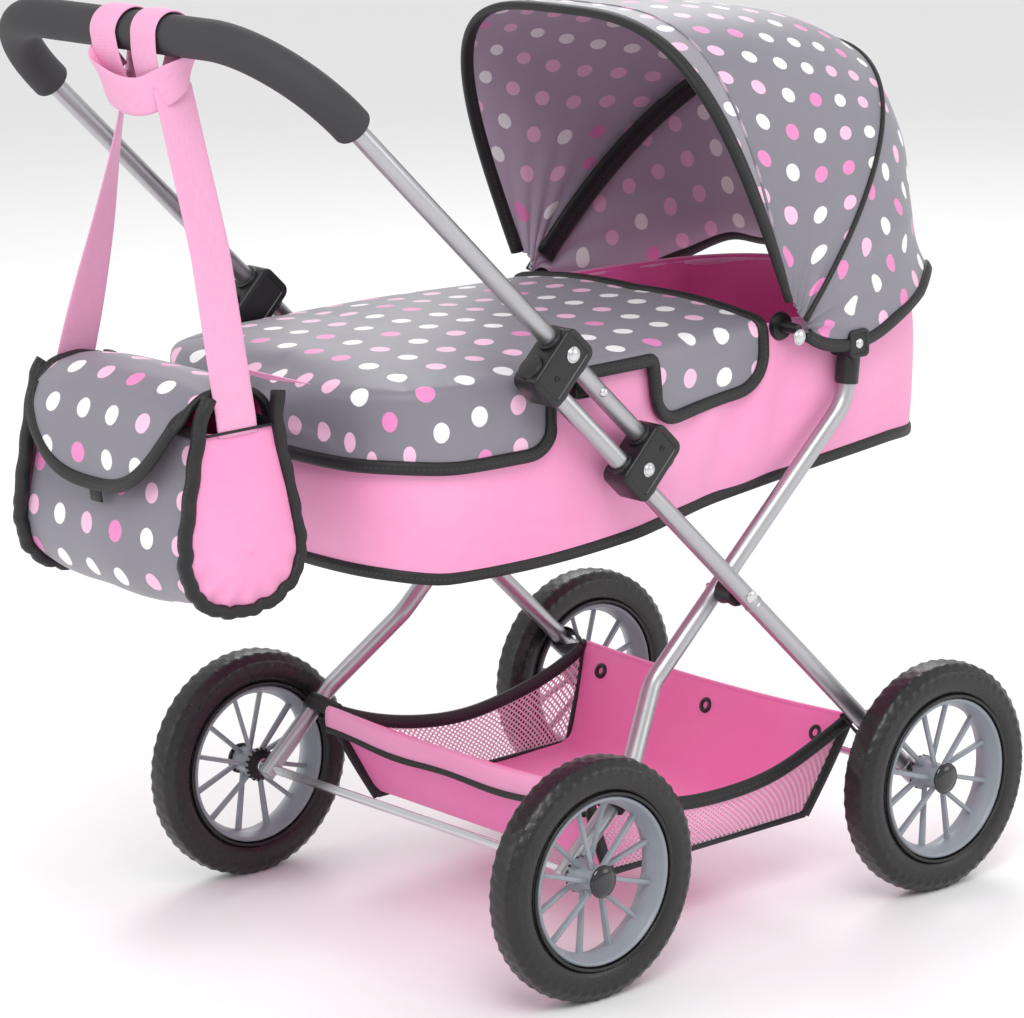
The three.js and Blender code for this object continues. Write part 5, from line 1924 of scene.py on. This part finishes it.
# ---------------------------------------------------------------- hood
@dataclass
class Hood:
    """The folding hood: one curved sheet over two bows, from the front edge down to the rear hem.

    Attributes:
        pivot: where both bows turn, as (x, z).
        front: the front bow's angle in degrees, from +X upward.
        seam: the angle of the seam over the middle bow.
        band: the angle where the front band's seam runs.
    """

    pivot: tuple[float, float] = (67.0, 372.0)
    front: float = 112.0
    seam: float = 48.0
    band: float = 105.8
    across: int = 113
    bow_reach: float = 212.0

    def build(self) -> None:
        """Makes the sheet, its bindings and its seams."""
        share = self.shares()
        grid, flat, first_rear = self.surface(share)
        sheet = grid_piece("hood_cloth", grid, flat=flat)
        for stuff in (Stuff.DOTTED, Stuff.BAND):
            sheet.data.materials.append(stuff.material)
        edit(sheet)
        tidy_mesh(sheet)
        face_out(sheet, spot(110, 0, 420))
        centre = spot(self.pivot[0], 0, self.pivot[1])
        for face in sheet.data.polygons:
            away = face.center - centre
            face.material_index = int(math.degrees(math.atan2(away.z, away.x)) > self.band)
        # The inside of the hood gets the lining with the painted light through the cloth.
        thicken(sheet, 1.5, lining=Stuff.HOOD_LINING)
        self.bend(sheet)
        dress(sheet, Stuff.DOTTED, "", "canopy")
        self.trim(grid, first_rear)

    def bend(self, piece: Obj) -> None:
        """Bakes a piece's transform into its mesh; the inner helper for points round the pivot is not used."""
        def out(reach: float, angle: float) -> Vector:
            turn = math.radians(angle)
            return spot(self.pivot[0] + reach * math.cos(turn), 0, self.pivot[1] + reach * math.sin(turn))
        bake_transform(piece)

    def shares(self) -> Points:
        """Evenly spread angles across a bow, in radians, from one side to the other."""
        fine = math.pi * (1 - np.cos(np.linspace(0, math.pi, 4000))) / 2
        y = 131 * signed_power(np.cos(fine), 2 / 2.6)
        rise = self.bow_reach * signed_power(np.sin(fine), 2 / 2.6)
        keep = rise >= 9.0
        stacked = even(np.column_stack([y, rise, fine * 20])[keep], self.across)
        return stacked[:, 2] / 20

    def surface(self, share: Points) -> tuple[Points, Points, int]:
        """The hood's points from the front edge to the rear hem.

        Args:
            share: the angles across each bow.

        Returns:
            The points, their flat map, and the row where the rear panel starts.
        """
        rows, flats = [], []
        for angle in np.linspace(self.front, self.seam, 30):
            power = lerp(2.4, 3.5, smooth(angle, self.seam, self.front))
            dip = 4.0 * math.sin(math.pi * (angle - self.seam) / (self.front - self.seam))
            half = lerp(131.5, 129.5, smooth(angle, self.seam, self.front)) - dip
            reach = curve(angle, (48, 62, 77, 98, 112), (212, 202, 194, 199, 212))
            high = signed_power(np.sin(share), 2 / power)
            out = lerp(self.bow_reach, reach, high ** 3) * high
            y = half * signed_power(np.cos(share), 2 / power)
            y = y + np.sign(y) * 1.4 * np.sin(math.radians(angle) * 26) * np.exp(-out / 60.0)
            rows.append(self.place(out, angle, y))
            flats.append(self.flat(out, angle, y, reach, 80.0))
        first_rear = len(rows)
        power = 2 / 2.4
        seam_out = self.bow_reach * signed_power(np.sin(share), power)
        seam_y = 131.5 * signed_power(np.cos(share), power)
        hem = self.hem(share)
        hem_out = np.hypot(hem[:, 0] - self.pivot[0], hem[:, 2] - self.pivot[1])
        hem_angle = np.degrees(np.arctan2(hem[:, 2] - self.pivot[1], hem[:, 0] - self.pivot[0]))
        weight = np.sin(share) ** 1.6
        for t in np.linspace(0, 1, 30):
            angle = lerp(self.seam, hem_angle, t)
            crown = curve(angle, (0.6, 7.6, 16.5, 23.8, 30.4, 38.8, 48), (198, 181, 176, 184, 194, 204, 212))
            out = lerp(seam_out, hem_out, t) + weight * (crown - lerp(212.0, 198.0, t)) * (1 - (1 - t) ** 8)
            y = lerp(seam_y, hem[:, 1], t)
            slack = np.sign(y) * np.sin(np.radians(angle) * 15 + out / 16.0)
            y = y + slack * 1.7 * math.sin(math.pi * t) * smooth(np.abs(y), 60, 110)
            out = out + 1.6 * np.sin(out / 13.0 + y / 15.0) * math.sin(math.pi * t) * smooth(t, 0.1, 0.5)
            rows.append(self.place(out, angle, y))
            flats.append(self.flat(out, angle, y, 200.0, 24.0))
        return np.array(rows), np.array(flats), first_rear

    def place(self, out: Points, angle: Points | float, y: Points) -> Points:
        """Points at a distance and an angle from the pivot's axis."""
        turn = np.radians(angle)
        return np.column_stack([self.pivot[0] + out * np.cos(turn), y, self.pivot[1] + out * np.sin(turn)])

    def flat(self, out: Points, angle: Points | float, y: Points, reach: float, middle: float) -> Points:
        """Where points lie in a panel's flat cloth.

        Args:
            out: their distance from the pivot's axis.
            angle: their angle.
            y: their place across the hood.
            reach: the crown's distance at that angle.
            middle: the panel's middle angle.

        Returns:
            Their flat places in millimetres.
        """
        turn = np.radians(angle - middle)
        side = smooth(np.abs(y) / 131.0, 0.1, 0.85)
        across = np.sign(y) * (np.abs(y) + reach - out * lerp(1.0, np.cos(turn), side))
        return np.column_stack([across, out * lerp(turn, np.sin(turn), side)])

    def hem(self, share: Points) -> Points:
        """The rear hem: down from each pivot, along the cot's side and up to the pointed rear corners."""
        turn = np.degrees(np.minimum(share, math.pi - share))
        at = (0.0, 3.2, 9.0, 15.5, 24.0, 32.0, 45.0, 58.0, 71.0, 90.0)
        x = curve(turn, at, (68, 82, 108, 135, 166, 191, 226, 240, 250, 263))
        y = curve(turn, at, (131.5, 130.5, 128, 125, 120, 112, 94, 76, 50, 0))
        z = curve(turn, at, (368, 360, 353, 354, 363, 371, 384, 381, 379, 375))
        return np.column_stack([x, np.where(share < math.pi / 2, y, -y), z])

    def trim(self, grid: Points, first_rear: int) -> None:
        """The bindings of the front edge and the hem, the seams and the tape inside."""
        front = grid[0]
        inward = grid[2] - grid[0]
        edge = tape_along("hood_front_binding", front + inward / np.linalg.norm(inward, axis=1)[:, None] * 1.5,
                          inward, 9.0, thick=5.6)
        dress(edge, Stuff.BINDING, "hood_front", "hood_front_bow")
        rear = grid[-1]
        upward = relax(grid[-4] - grid[-1], 4)
        upward /= np.linalg.norm(upward, axis=1)[:, None]
        hem = tape_along("hood_hem_binding", rear + upward * 2.4, upward, 8.4, thick=4.4)
        self.bend(hem)
        dress(hem, Stuff.BINDING, "")
        seam = grid[first_rear]
        outward = np.column_stack([seam[:, 0] - self.pivot[0], seam[:, 1] * 0.8, seam[:, 2] - self.pivot[1]])
        outward /= np.linalg.norm(outward, axis=1)[:, None]
        ahead = grid[first_rear - 2] - grid[first_rear]
        piping = tape_along("hood_seam_piping", seam + outward * 0.5, ahead, 3.4, thick=3.0)
        self.bend(piping)
        dress(piping, Stuff.BINDING, "")
        band_row = int(round((self.front - self.band) / (self.front - self.seam) * 29))
        line = grid[band_row]
        outward = np.column_stack([line[:, 0] - self.pivot[0], line[:, 1] * 0.8, line[:, 2] - self.pivot[1]])
        outward /= np.linalg.norm(outward, axis=1)[:, None]
        stitches = tape_along("hood_band_seam", line + outward * 0.1, grid[band_row - 1] - line, 2.2, thick=1.4,
                              sides=8)
        self.bend(stitches)
        dress(stitches, Stuff.DOTTED, "")
        share = np.linspace(0.06, math.pi - 0.06, 81)
        power = 2 / 2.4
        bow = self.place(203 * signed_power(np.sin(share), power), 47.0, 124.5 * signed_power(np.cos(share), power))
        before = self.place(203 * signed_power(np.sin(share), power), 52.0,
                            124.5 * signed_power(np.cos(share), power))
        casing = tape_along("hood_bow_casing", even(bow, 81), even(before, 81) - even(bow, 81), 16.0, thick=4.6)
        dress(casing, Stuff.BINDING, "hood_mid", "hood_mid_bow")


# ---------------------------------------------------------------- basket
@dataclass
class Basket:
    """The open basket between the legs: a pink cloth trough with net sides, hung at its corners.

    Attributes:
        floor_half: half the floor's length and width.
        top_half: half the mouth's length and width.
        floor: the floor's height.
        middle_rim: the height of a net side's edge in its middle.
        corner_rim: the height of the corners.
        keep: the share of its width left when the frame is folded; not used.
    """

    floor_half: tuple[float, float] = (84.0, 114.0)
    top_half: tuple[float, float] = (112.0, 127.0)
    floor: float = 50.0
    middle_rim: float = 86.0
    corner_rim: float = 113.0
    keep: float = 0.45

    def build(self) -> None:
        """Makes the basket's pieces."""
        self.trough()
        self.ends()
        for letter, side in SIDES:
            self.net(letter, side)
            self.straps(letter, side)

    def crumple(self, piece: Obj, stuff: Stuff, *nodes: str) -> None:
        """Dresses a piece of the basket on the front frame and gives it a mesh of its own."""
        dress(piece, stuff, "front_frame", *nodes)
        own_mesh(piece)

    def half_width(self, z: Points | float) -> Points | float:
        """Half the basket's width at a height."""
        return lerp(self.floor_half[1], self.top_half[1], (z - self.floor) / (self.corner_rim - self.floor))

    def trough(self) -> None:
        """The pink cloth: rear panel, floor and front panel in one piece, loose across the floor."""
        (fx, _), (tx, _) = self.floor_half, self.top_half
        corners = np.array([(-tx, self.corner_rim), (-fx, self.floor), (fx, self.floor), (tx, self.corner_rim)])
        path = even(relax(even(corners, 240), 60), 64)
        across = np.linspace(-1, 1, 57)
        rows = []
        for x, z in path:
            y = across * (self.half_width(z) - 0.8)
            high = smooth(z, self.floor, self.corner_rim)
            sag = -3.5 * high * (1 - across ** 2) - 1.2 * (1 - high) * np.cos(across * 1.4)
            ripple = 0.9 * np.sin(across * 9 + x / 18.0) * high * (1 - high) * 4
            ripple = ripple + 0.6 * np.sin(x / 14.0 + across * 3) * (1 - high)
            push = math.copysign(1.0, x) * (2.4 * high * (1 - high) * 4 * (1 - across ** 2) + ripple) * (high > 0)
            rows.append(np.column_stack([x + push, y, z + sag + ripple * (1 - high)]))
        self.rim_ends = (rows[0], rows[-1])
        piece = grid_piece("basket_trough", np.array(rows))
        face_out(piece, spot(0, 0, 100))
        thicken(piece, 1.5)
        self.crumple(piece, Stuff.BASKET, "basket")

    def ends(self) -> None:
        """The rolled hems of the two end panels, their eyelets and the rear band with its binding line."""
        rise = np.tile((0.0, 0.0, 1.0), (57, 1))
        rear, front = self.rim_ends
        roll = tape_along("basket_front_hem", front + (0, 0, -3.0), rise, 9.0, thick=4.6)
        self.crumple(roll, Stuff.BASKET)
        wave = np.column_stack([np.zeros(57), np.zeros(57), 0.7 * np.sin(np.linspace(0, 15, 57))])
        band = tape_along("basket_rear_band", rear + (-1.0, 0, -6.5) + wave, rise, 15.0, thick=6.4)
        self.crumple(band, Stuff.PINK)
        line = tape_along("basket_rear_line", rear + (-1.2, 0, -15.0) + wave * 1.6, rise, 5.4, thick=5.0)
        self.crumple(line, Stuff.BINDING)
        ring = self.eyelet()
        for name, x, y, z in (("front_L", 105.6, 104, 98), ("front_middle", 106.0, 0, 95),
                              ("front_R", 105.6, -104, 98), ("rear_middle", -109.5, 0, 99)):
            lean = Matrix.Rotation(math.radians(24 if x > 0 else -24), 4, "Y")
            piece = twin(ring, f"basket_eyelet_{name}", Matrix.Translation(spot(x, y, z)) @ lean)
            self.crumple(piece, Stuff.PLASTIC)
        bpy.data.objects.remove(ring)

    def eyelet(self) -> Obj:
        """A pressed eyelet about the origin, lying across X: a rounded ring with a sunk middle."""
        profile = [(0.0, -1.6), (2.2, -1.6), (2.4, -1.0), (2.4, 1.6), (2.9, 2.5), (4.2, 2.7), (5.1, 2.0),
                   (5.3, 0.9), (5.3, -0.9), (5.1, -2.0), (4.2, -2.7), (2.9, -2.7), (2.2, -2.5), (0.0, -2.5)]
        ring = lathe("eyelet", profile, Vector(), 28)
        ring.data.transform(Matrix.Rotation(math.pi / 2, 4, "Z"))
        soften(ring, 50)
        return ring

    def net(self, letter: str, side: int) -> None:
        """One net side, with its sagging top binding, its thin lower edge and its corner tapes."""
        (fx, fy), (tx, ty) = self.floor_half, self.top_half
        along = np.linspace(-1, 1, 61)
        rim = self.middle_rim + (self.corner_rim - self.middle_rim) * along ** 2
        rows = []
        for share in np.linspace(0, 1, 19):
            x = along * lerp(fx, tx, share)
            y = lerp(fy, ty, share) + 2.6 * math.sin(math.pi * share) * (1 - along ** 2)
            y = y + 0.7 * np.sin(along * 8 + share * 5) * share
            rows.append(np.column_stack([x, side * y, lerp(self.floor, rim, share)]))
        piece = grid_piece(f"basket_net_{letter}", np.array(rows))
        face_out(piece, spot(0, 0, 80))
        self.crumple(piece, Stuff.NET)
        rise = np.tile((0.0, 0.0, 1.0), (61, 1))
        top = tape_along(f"basket_top_binding_{letter}", rows[-1] + (0, 0, -1.5), rise, 9.4, thick=4.8)
        self.crumple(top, Stuff.BINDING)
        low = tape_along(f"basket_low_binding_{letter}", rows[0] + (0, 0, 0.4), rise, 4.6, thick=3.4)
        self.crumple(low, Stuff.BINDING)
        for end, sign in (("front", 1), ("rear", -1)):
            share = np.linspace(0, 1, 13)[:, None]
            foot, head = np.array((sign * fx, side * fy, self.floor)), np.array((sign * tx, side * ty, 111.0))
            post = foot + (head - foot) * share + np.array((sign, 0, 0)) * 1.2 * np.sin(math.pi * share)
            tape = tape_along(f"basket_corner_tape_{end}_{letter}", post, np.tile((1.0, 0, 0), (13, 1)),
                              8.4, thick=4.2)
            self.crumple(tape, Stuff.BINDING)

    def straps(self, letter: str, side: int) -> None:
        """The black loops that hang one side's corners from the legs."""
        leg = node_centre(f"front_leg_{letter}").y / MM * side
        for end, body, x, z, lean in (("front", "front_frame", 110.0, 111.0, -1), ("rear", "rear_frame", -106.5, 109.0, 1)):
            turn = np.linspace(-math.pi / 2, math.pi / 2, 15)
            round_leg = np.column_stack([leg + 7.6 * np.cos(turn), 7.6 * np.sin(turn)])
            back = np.array([(leg - 6, 7.0), (leg - 13, 3.4), (leg - 20, 1.0), (leg - 22, -0.4), (leg - 20, -1.6),
                             (leg - 13, -3.4), (leg - 6, -7.0)])
            loop = even(np.vstack([round_leg, back]), 56, closed=True)
            across = np.array((0.7071, 0.0, 0.7071 * -lean))
            path = np.array((x, 0.0, z)) + loop[:, 1:] * across
            path[:, 1] = side * loop[:, 0]
            run = np.array((0.7071, 0.0, 0.7071 * lean))
            strap = tape_along(f"basket_strap_loop_{end}_{letter}", path, np.tile(run, (56, 1)), 11.0,
                               thick=1.8, closed=True)
            dress(strap, Stuff.BINDING, body, f"basket_strap_{end}_{letter}")


# ---------------------------------------------------------------- hanging bag
@dataclass
class Bag:
    """The bag that hangs from the handle: a sagging dotted body, pink gussets, a flap and two straps.

    Attributes:
        middle_y: where its middle is, along Y.
        half: half its width, gusset to gusset.
        top: the height of its mouth.
        bar: the crossbar's axis, as (x, z).
    """

    middle_y: float = -10.0
    half: float = 80.0
    top: float = 370.0
    bar: tuple[float, float] = (-338.96, 588.5)
    bar_radius: float = 11.8

    def build(self) -> None:
        """Makes the bag's pieces."""
        outline = self.outline()
        self.body(outline)
        for letter, side in SIDES:
            self.gusset(letter, side, outline)
            self.strap(letter, side)
        self.flap()
        self.hitch()

    def outline(self) -> Points:
        """The gusset's outline as (x, z), from the front of the mouth, under the bag and up to its back."""
        points = np.array([(-365, 370), (-369, 352), (-373, 332), (-377, 312), (-378.5, 296), (-375, 281),
                           (-366, 270), (-352, 264.5), (-337, 263), (-322, 265), (-309, 271), (-300, 282),
                           (-297.5, 296), (-301, 314), (-305, 334), (-309, 352), (-311, 368)], float)
        return even(relax(even(points, 160), 12), 61)

    def body(self, outline: Points) -> None:
        """The dotted cloth round the bag, fuller in its middle and sagging under its own weight."""
        across = np.linspace(-1, 1, 45)
        centre = outline.mean(axis=0)
        rows = []
        for k, (x, z) in enumerate(outline):
            away = np.array((x, z)) - centre
            away /= np.linalg.norm(away)
            share = k / (len(outline) - 1)
            low = smooth(self.top - z, 30, 105)
            belly = (1 - across ** 2) * (1.0 + 3.2 * low) - 1.2
            belly = belly + 0.7 * np.sin(across * 7 + share * 8) * low
            front = np.array([lerp(x, x + 4.0 * (across[i] > 0) * across[i], 1 - low) for i in range(45)])
            rows.append(np.column_stack([front + away[0] * belly, self.middle_y + across * self.half,
                                         z + away[1] * belly - 1.6 * low * (1 - across ** 2)]))
        flat_v = np.concatenate([[0.0], np.cumsum(np.linalg.norm(np.diff(outline, axis=0), axis=1))])
        flat = np.stack(np.meshgrid(across * self.half, flat_v), axis=2)
        piece = grid_piece("bag_cloth", np.array(rows), flat=flat)
        piece.data.materials.append(Stuff.DOTTED.material)
        face_out(piece, spot(-338, self.middle_y, 318))
        thicken(piece, 1.6, lining=Stuff.LINING)
        dress(piece, Stuff.DOTTED, "bag", "bag_body")
        for name, k, into in (("front", 0, 1), ("back", -1, -2)):
            edge = np.array(rows[k])
            run = np.array(rows[into]) - edge
            hem = tape_along(f"bag_mouth_binding_{name}", edge, run, 7.0, thick=4.0)
            dress(hem, Stuff.BINDING, "bag")

    def gusset(self, letter: str, side: int, outline: Points) -> None:
        """One pink end gusset, puffed out and gathered along its lower edge, with its lumpy piping."""
        y = self.middle_y + side * self.half
        level = (outline[:, 1] + outline[::-1, 1]) / 2
        spine = np.column_stack([np.full(61, -338.0), np.clip(level, 300, 366)])
        rows = []
        for share in np.linspace(0, 1, 17):
            plan = spine + (outline - spine) * share
            low = smooth(318 - plan[:, 1], 0, 46)
            puff = 9.5 * (1 - share ** 2.6) * smooth(372 - plan[:, 1], 0, 50) + 2.0
            gather = 1.5 * np.sin(np.arange(61) * 1.5) * low * smooth(share, 0.45, 0.9) * (1 - smooth(share, 0.97, 1.0))
            rows.append(np.column_stack([plan[:, 0], y + side * (puff + gather), plan[:, 1]]))
        piece = grid_piece(f"bag_gusset_{letter}", np.array(rows))
        edit(piece)
        tidy_mesh(piece)
        face_out(piece, spot(-338, self.middle_y, 318))
        thicken(piece, 1.4)
        subdivide(piece)
        dress(piece, Stuff.PINK, "bag")
        ring = even(np.vstack([[(-357, 388), (-362, 381)], outline, [(-310.5, 378), (-309, 386)]]), 150)
        count = np.arange(150)
        lumps = (0.5 * np.sin(count * 0.83) + 0.5 * np.sin(count * 1.37 + 1)) * smooth(330 - ring[:, 1], 0, 40)
        out = ring - np.array((-338.0, 318.0))
        out /= np.linalg.norm(out, axis=1)[:, None]
        ring = ring + out * (lumps + 0.8)[:, None]
        path = np.column_stack([ring[:, 0], y + side * (2.2 + 0.6 * np.sin(count * 0.61)), ring[:, 1]])
        piping = tape_along(f"bag_piping_{letter}", path, np.tile((0.0, 1.0, 0.0), (150, 1)), 8.6, thick=7.8)
        dress(piping, Stuff.BINDING, "bag")

    def flap(self) -> None:
        """The flap: from its hinge at the back over the mouth and down the front, half round and bound."""
        across = np.linspace(-1, 1, 49)
        widest = 73.0
        path = np.array([(-307.5, 372.0), (-310, 384), (-320, 393), (-338, 397), (-356, 394), (-370, 385),
                         (-378, 371), (-381.5, 356), (-382.5, 343), (-382.5, 330)], float)
        path = even(relax(even(path, 120), 8), 43)
        rows, flats = [], []
        run = np.concatenate([[0.0], np.cumsum(np.linalg.norm(np.diff(path, axis=0), axis=1))])
        for share in np.linspace(0, 1, 43):
            width = widest * np.ones(49)
            reach = run[-1] * (0.52 + 0.48 * np.sqrt(np.clip(1 - np.abs(across) ** 2.4, 0, 1)))
            at = share * reach
            x, z = np.interp(at, run, path[:, 0]), np.interp(at, run, path[:, 1])
            drop = smooth(at, run[-1] * 0.25, run[-1])
            wave = 1.1 * np.sin(across * 6 + share * 5) * drop
            droop = 5.0 * across ** 4 * (1 - smooth(at, run[-1] * 0.5, run[-1] * 0.9))
            rows.append(np.column_stack([x - wave - 1.0, self.middle_y - 1.0 + across * width, z - droop]))
            flats.append(np.column_stack([across * width, at]))
        grid = np.array(rows)
        piece = grid_piece("bag_flap_cloth", grid, flat=np.array(flats))
        piece.data.materials.append(Stuff.DOTTED.material)
        face_out(piece, spot(-338, self.middle_y, 330))
        thicken(piece, 1.8, lining=Stuff.LINING)
        dress(piece, Stuff.DOTTED, "bag_lid", "bag_flap")
        line = np.vstack([grid[:-1, 0], grid[-1, :-1], grid[1:, -1][::-1]])
        into = np.vstack([grid[:-1, 3] - grid[:-1, 0], grid[-4, :-1] - grid[-1, :-1],
                          (grid[1:, -4] - grid[1:, -1])[::-1]])
        into /= np.linalg.norm(into, axis=1)[:, None]
        stacked = even(np.hstack([line, into * 0.01]), 170)
        into = relax(stacked[:, 3:], 5)
        into /= np.linalg.norm(into, axis=1)[:, None]
        binding = tape_along("bag_flap_binding", relax(stacked[:, :3] + into * 1.6, 3), into, 8.2, thick=4.6)
        dress(binding, Stuff.BINDING, "bag_lid")
        tip = grid[-1, 24]
        tab = tape_along("bag_flap_tab", tip + np.array([(1.6, 0, 4), (1.2, 0, 0), (1.0, 0, -5), (1.4, 0, -9)]),
                         np.tile((0.0, 1.0, 0.0), (4, 1)), 12.0, thick=2.2)
        dress(tab, Stuff.BINDING, "bag_lid")

    def strap(self, letter: str, side: int) -> None:
        """One strap, from its gusset's top to the hitch, with the seam where it is sewn on."""
        foot = np.array((-338.5, self.middle_y + side * 82.5, 365.0))
        sewn = np.array((-338.5, self.middle_y + side * 82.0, 374.0))
        head = np.array((-339.0, side * 22.0 - 22.5, 560.0))
        line = np.vstack([foot, sewn, sewn + (head - sewn) * 0.05, sewn + (head - sewn) * 0.5 + (3.0, side * 1.5, 0),
                          head])
        path = relax(even(line, 60), 6)
        turned = (0.9 if side > 0 else 0.06) * smooth(np.linspace(0, 1, 60), 0.1, 1.0)
        ups = np.column_stack([np.cos(turned), np.sin(turned), np.zeros(60)])
        piece = tape_along(f"bag_strap_band_{letter}", path, ups, 28.0, thick=2.4, sides=16)
        dress(piece, Stuff.WEBBING, "bag", f"bag_strap_{letter}")
        seam = np.array([(x, self.middle_y + side * 83.6, 368.0) for x in (-361, -350, -338.5, -327, -315)])
        stitch = tape_along(f"bag_strap_seam_{letter}", seam, np.tile((0, 0, 1.0), (5, 1)), 1.8, thick=1.6, sides=8)
        dress(stitch, Stuff.BINDING, "bag")

    def hitch(self) -> None:
        """The lark's-head hitch: two loops round the crossbar and the band across their front."""
        bx, bz = self.bar
        parts = []
        turn = np.linspace(-0.15, math.pi + 0.15, 30)
        round_bar = np.column_stack([13.6 * np.cos(turn), 13.6 * np.sin(turn)])
        under = np.array([(-12.6, -10), (-10.5, -19), (-8.0, -27), (-5.0, -33), (0.0, -35.5), (5.0, -32), (8.5, -23), (11.5, -12)])
        for y, width, lean in ((2.4, 25.0, -0.12), (-37.0, 24.0, 0.10)):
            loop = relax(even(np.vstack([round_bar, under]), 70, closed=True), 2, closed=True)
            path = np.column_stack([bx + loop[:, 0], y + lean * loop[:, 1], bz + loop[:, 1]])
            path[:, 1] += (y + 18) * 0.011 * np.minimum(loop[:, 1], 0)
            parts.append(tape_along("loop", path, np.tile((0.0, 1.0, 0.0), (70, 1)), width, thick=2.2, sides=16,
                                    closed=True))
        band = np.array([(bx + 2, 13, bz - 12.5), (bx - 8, 13, bz - 18), (bx - 14, 6, bz - 26),
                         (bx - 16, -6, bz - 32.0), (bx - 16.5, -22, bz - 35.0), (bx - 15, -36, bz - 34.5),
                         (bx - 10, -48, bz - 29.0), (bx, -55, bz - 21.0), (bx + 9, -54, bz - 15), (bx + 14, -46, bz - 12)])
        path = relax(even(band, 70), 16)
        ups = np.column_stack([np.linspace(-0.35, 0.2, 70), np.linspace(0.5, -0.55, 70), np.ones(70)])
        parts.append(tape_along("band", path, ups, 22.0, thick=2.6, sides=16))
        knot = join_up("bag_hitch_knot", parts)
        dress(knot, Stuff.WEBBING, "bag", "bag_hitch")


def main() -> None:
    """Builds the pram."""
    logging.basicConfig(level=logging.INFO, format="%(name)s: %(message)s")
    Stage().build()
    Wheels().build()
    Frame().build()
    cot = Carrycot()
    cot.build()
    Cover(cot).build()
    Hood().build()
    Basket().build()
    Bag().build()


if __name__ == "__main__":
    main()
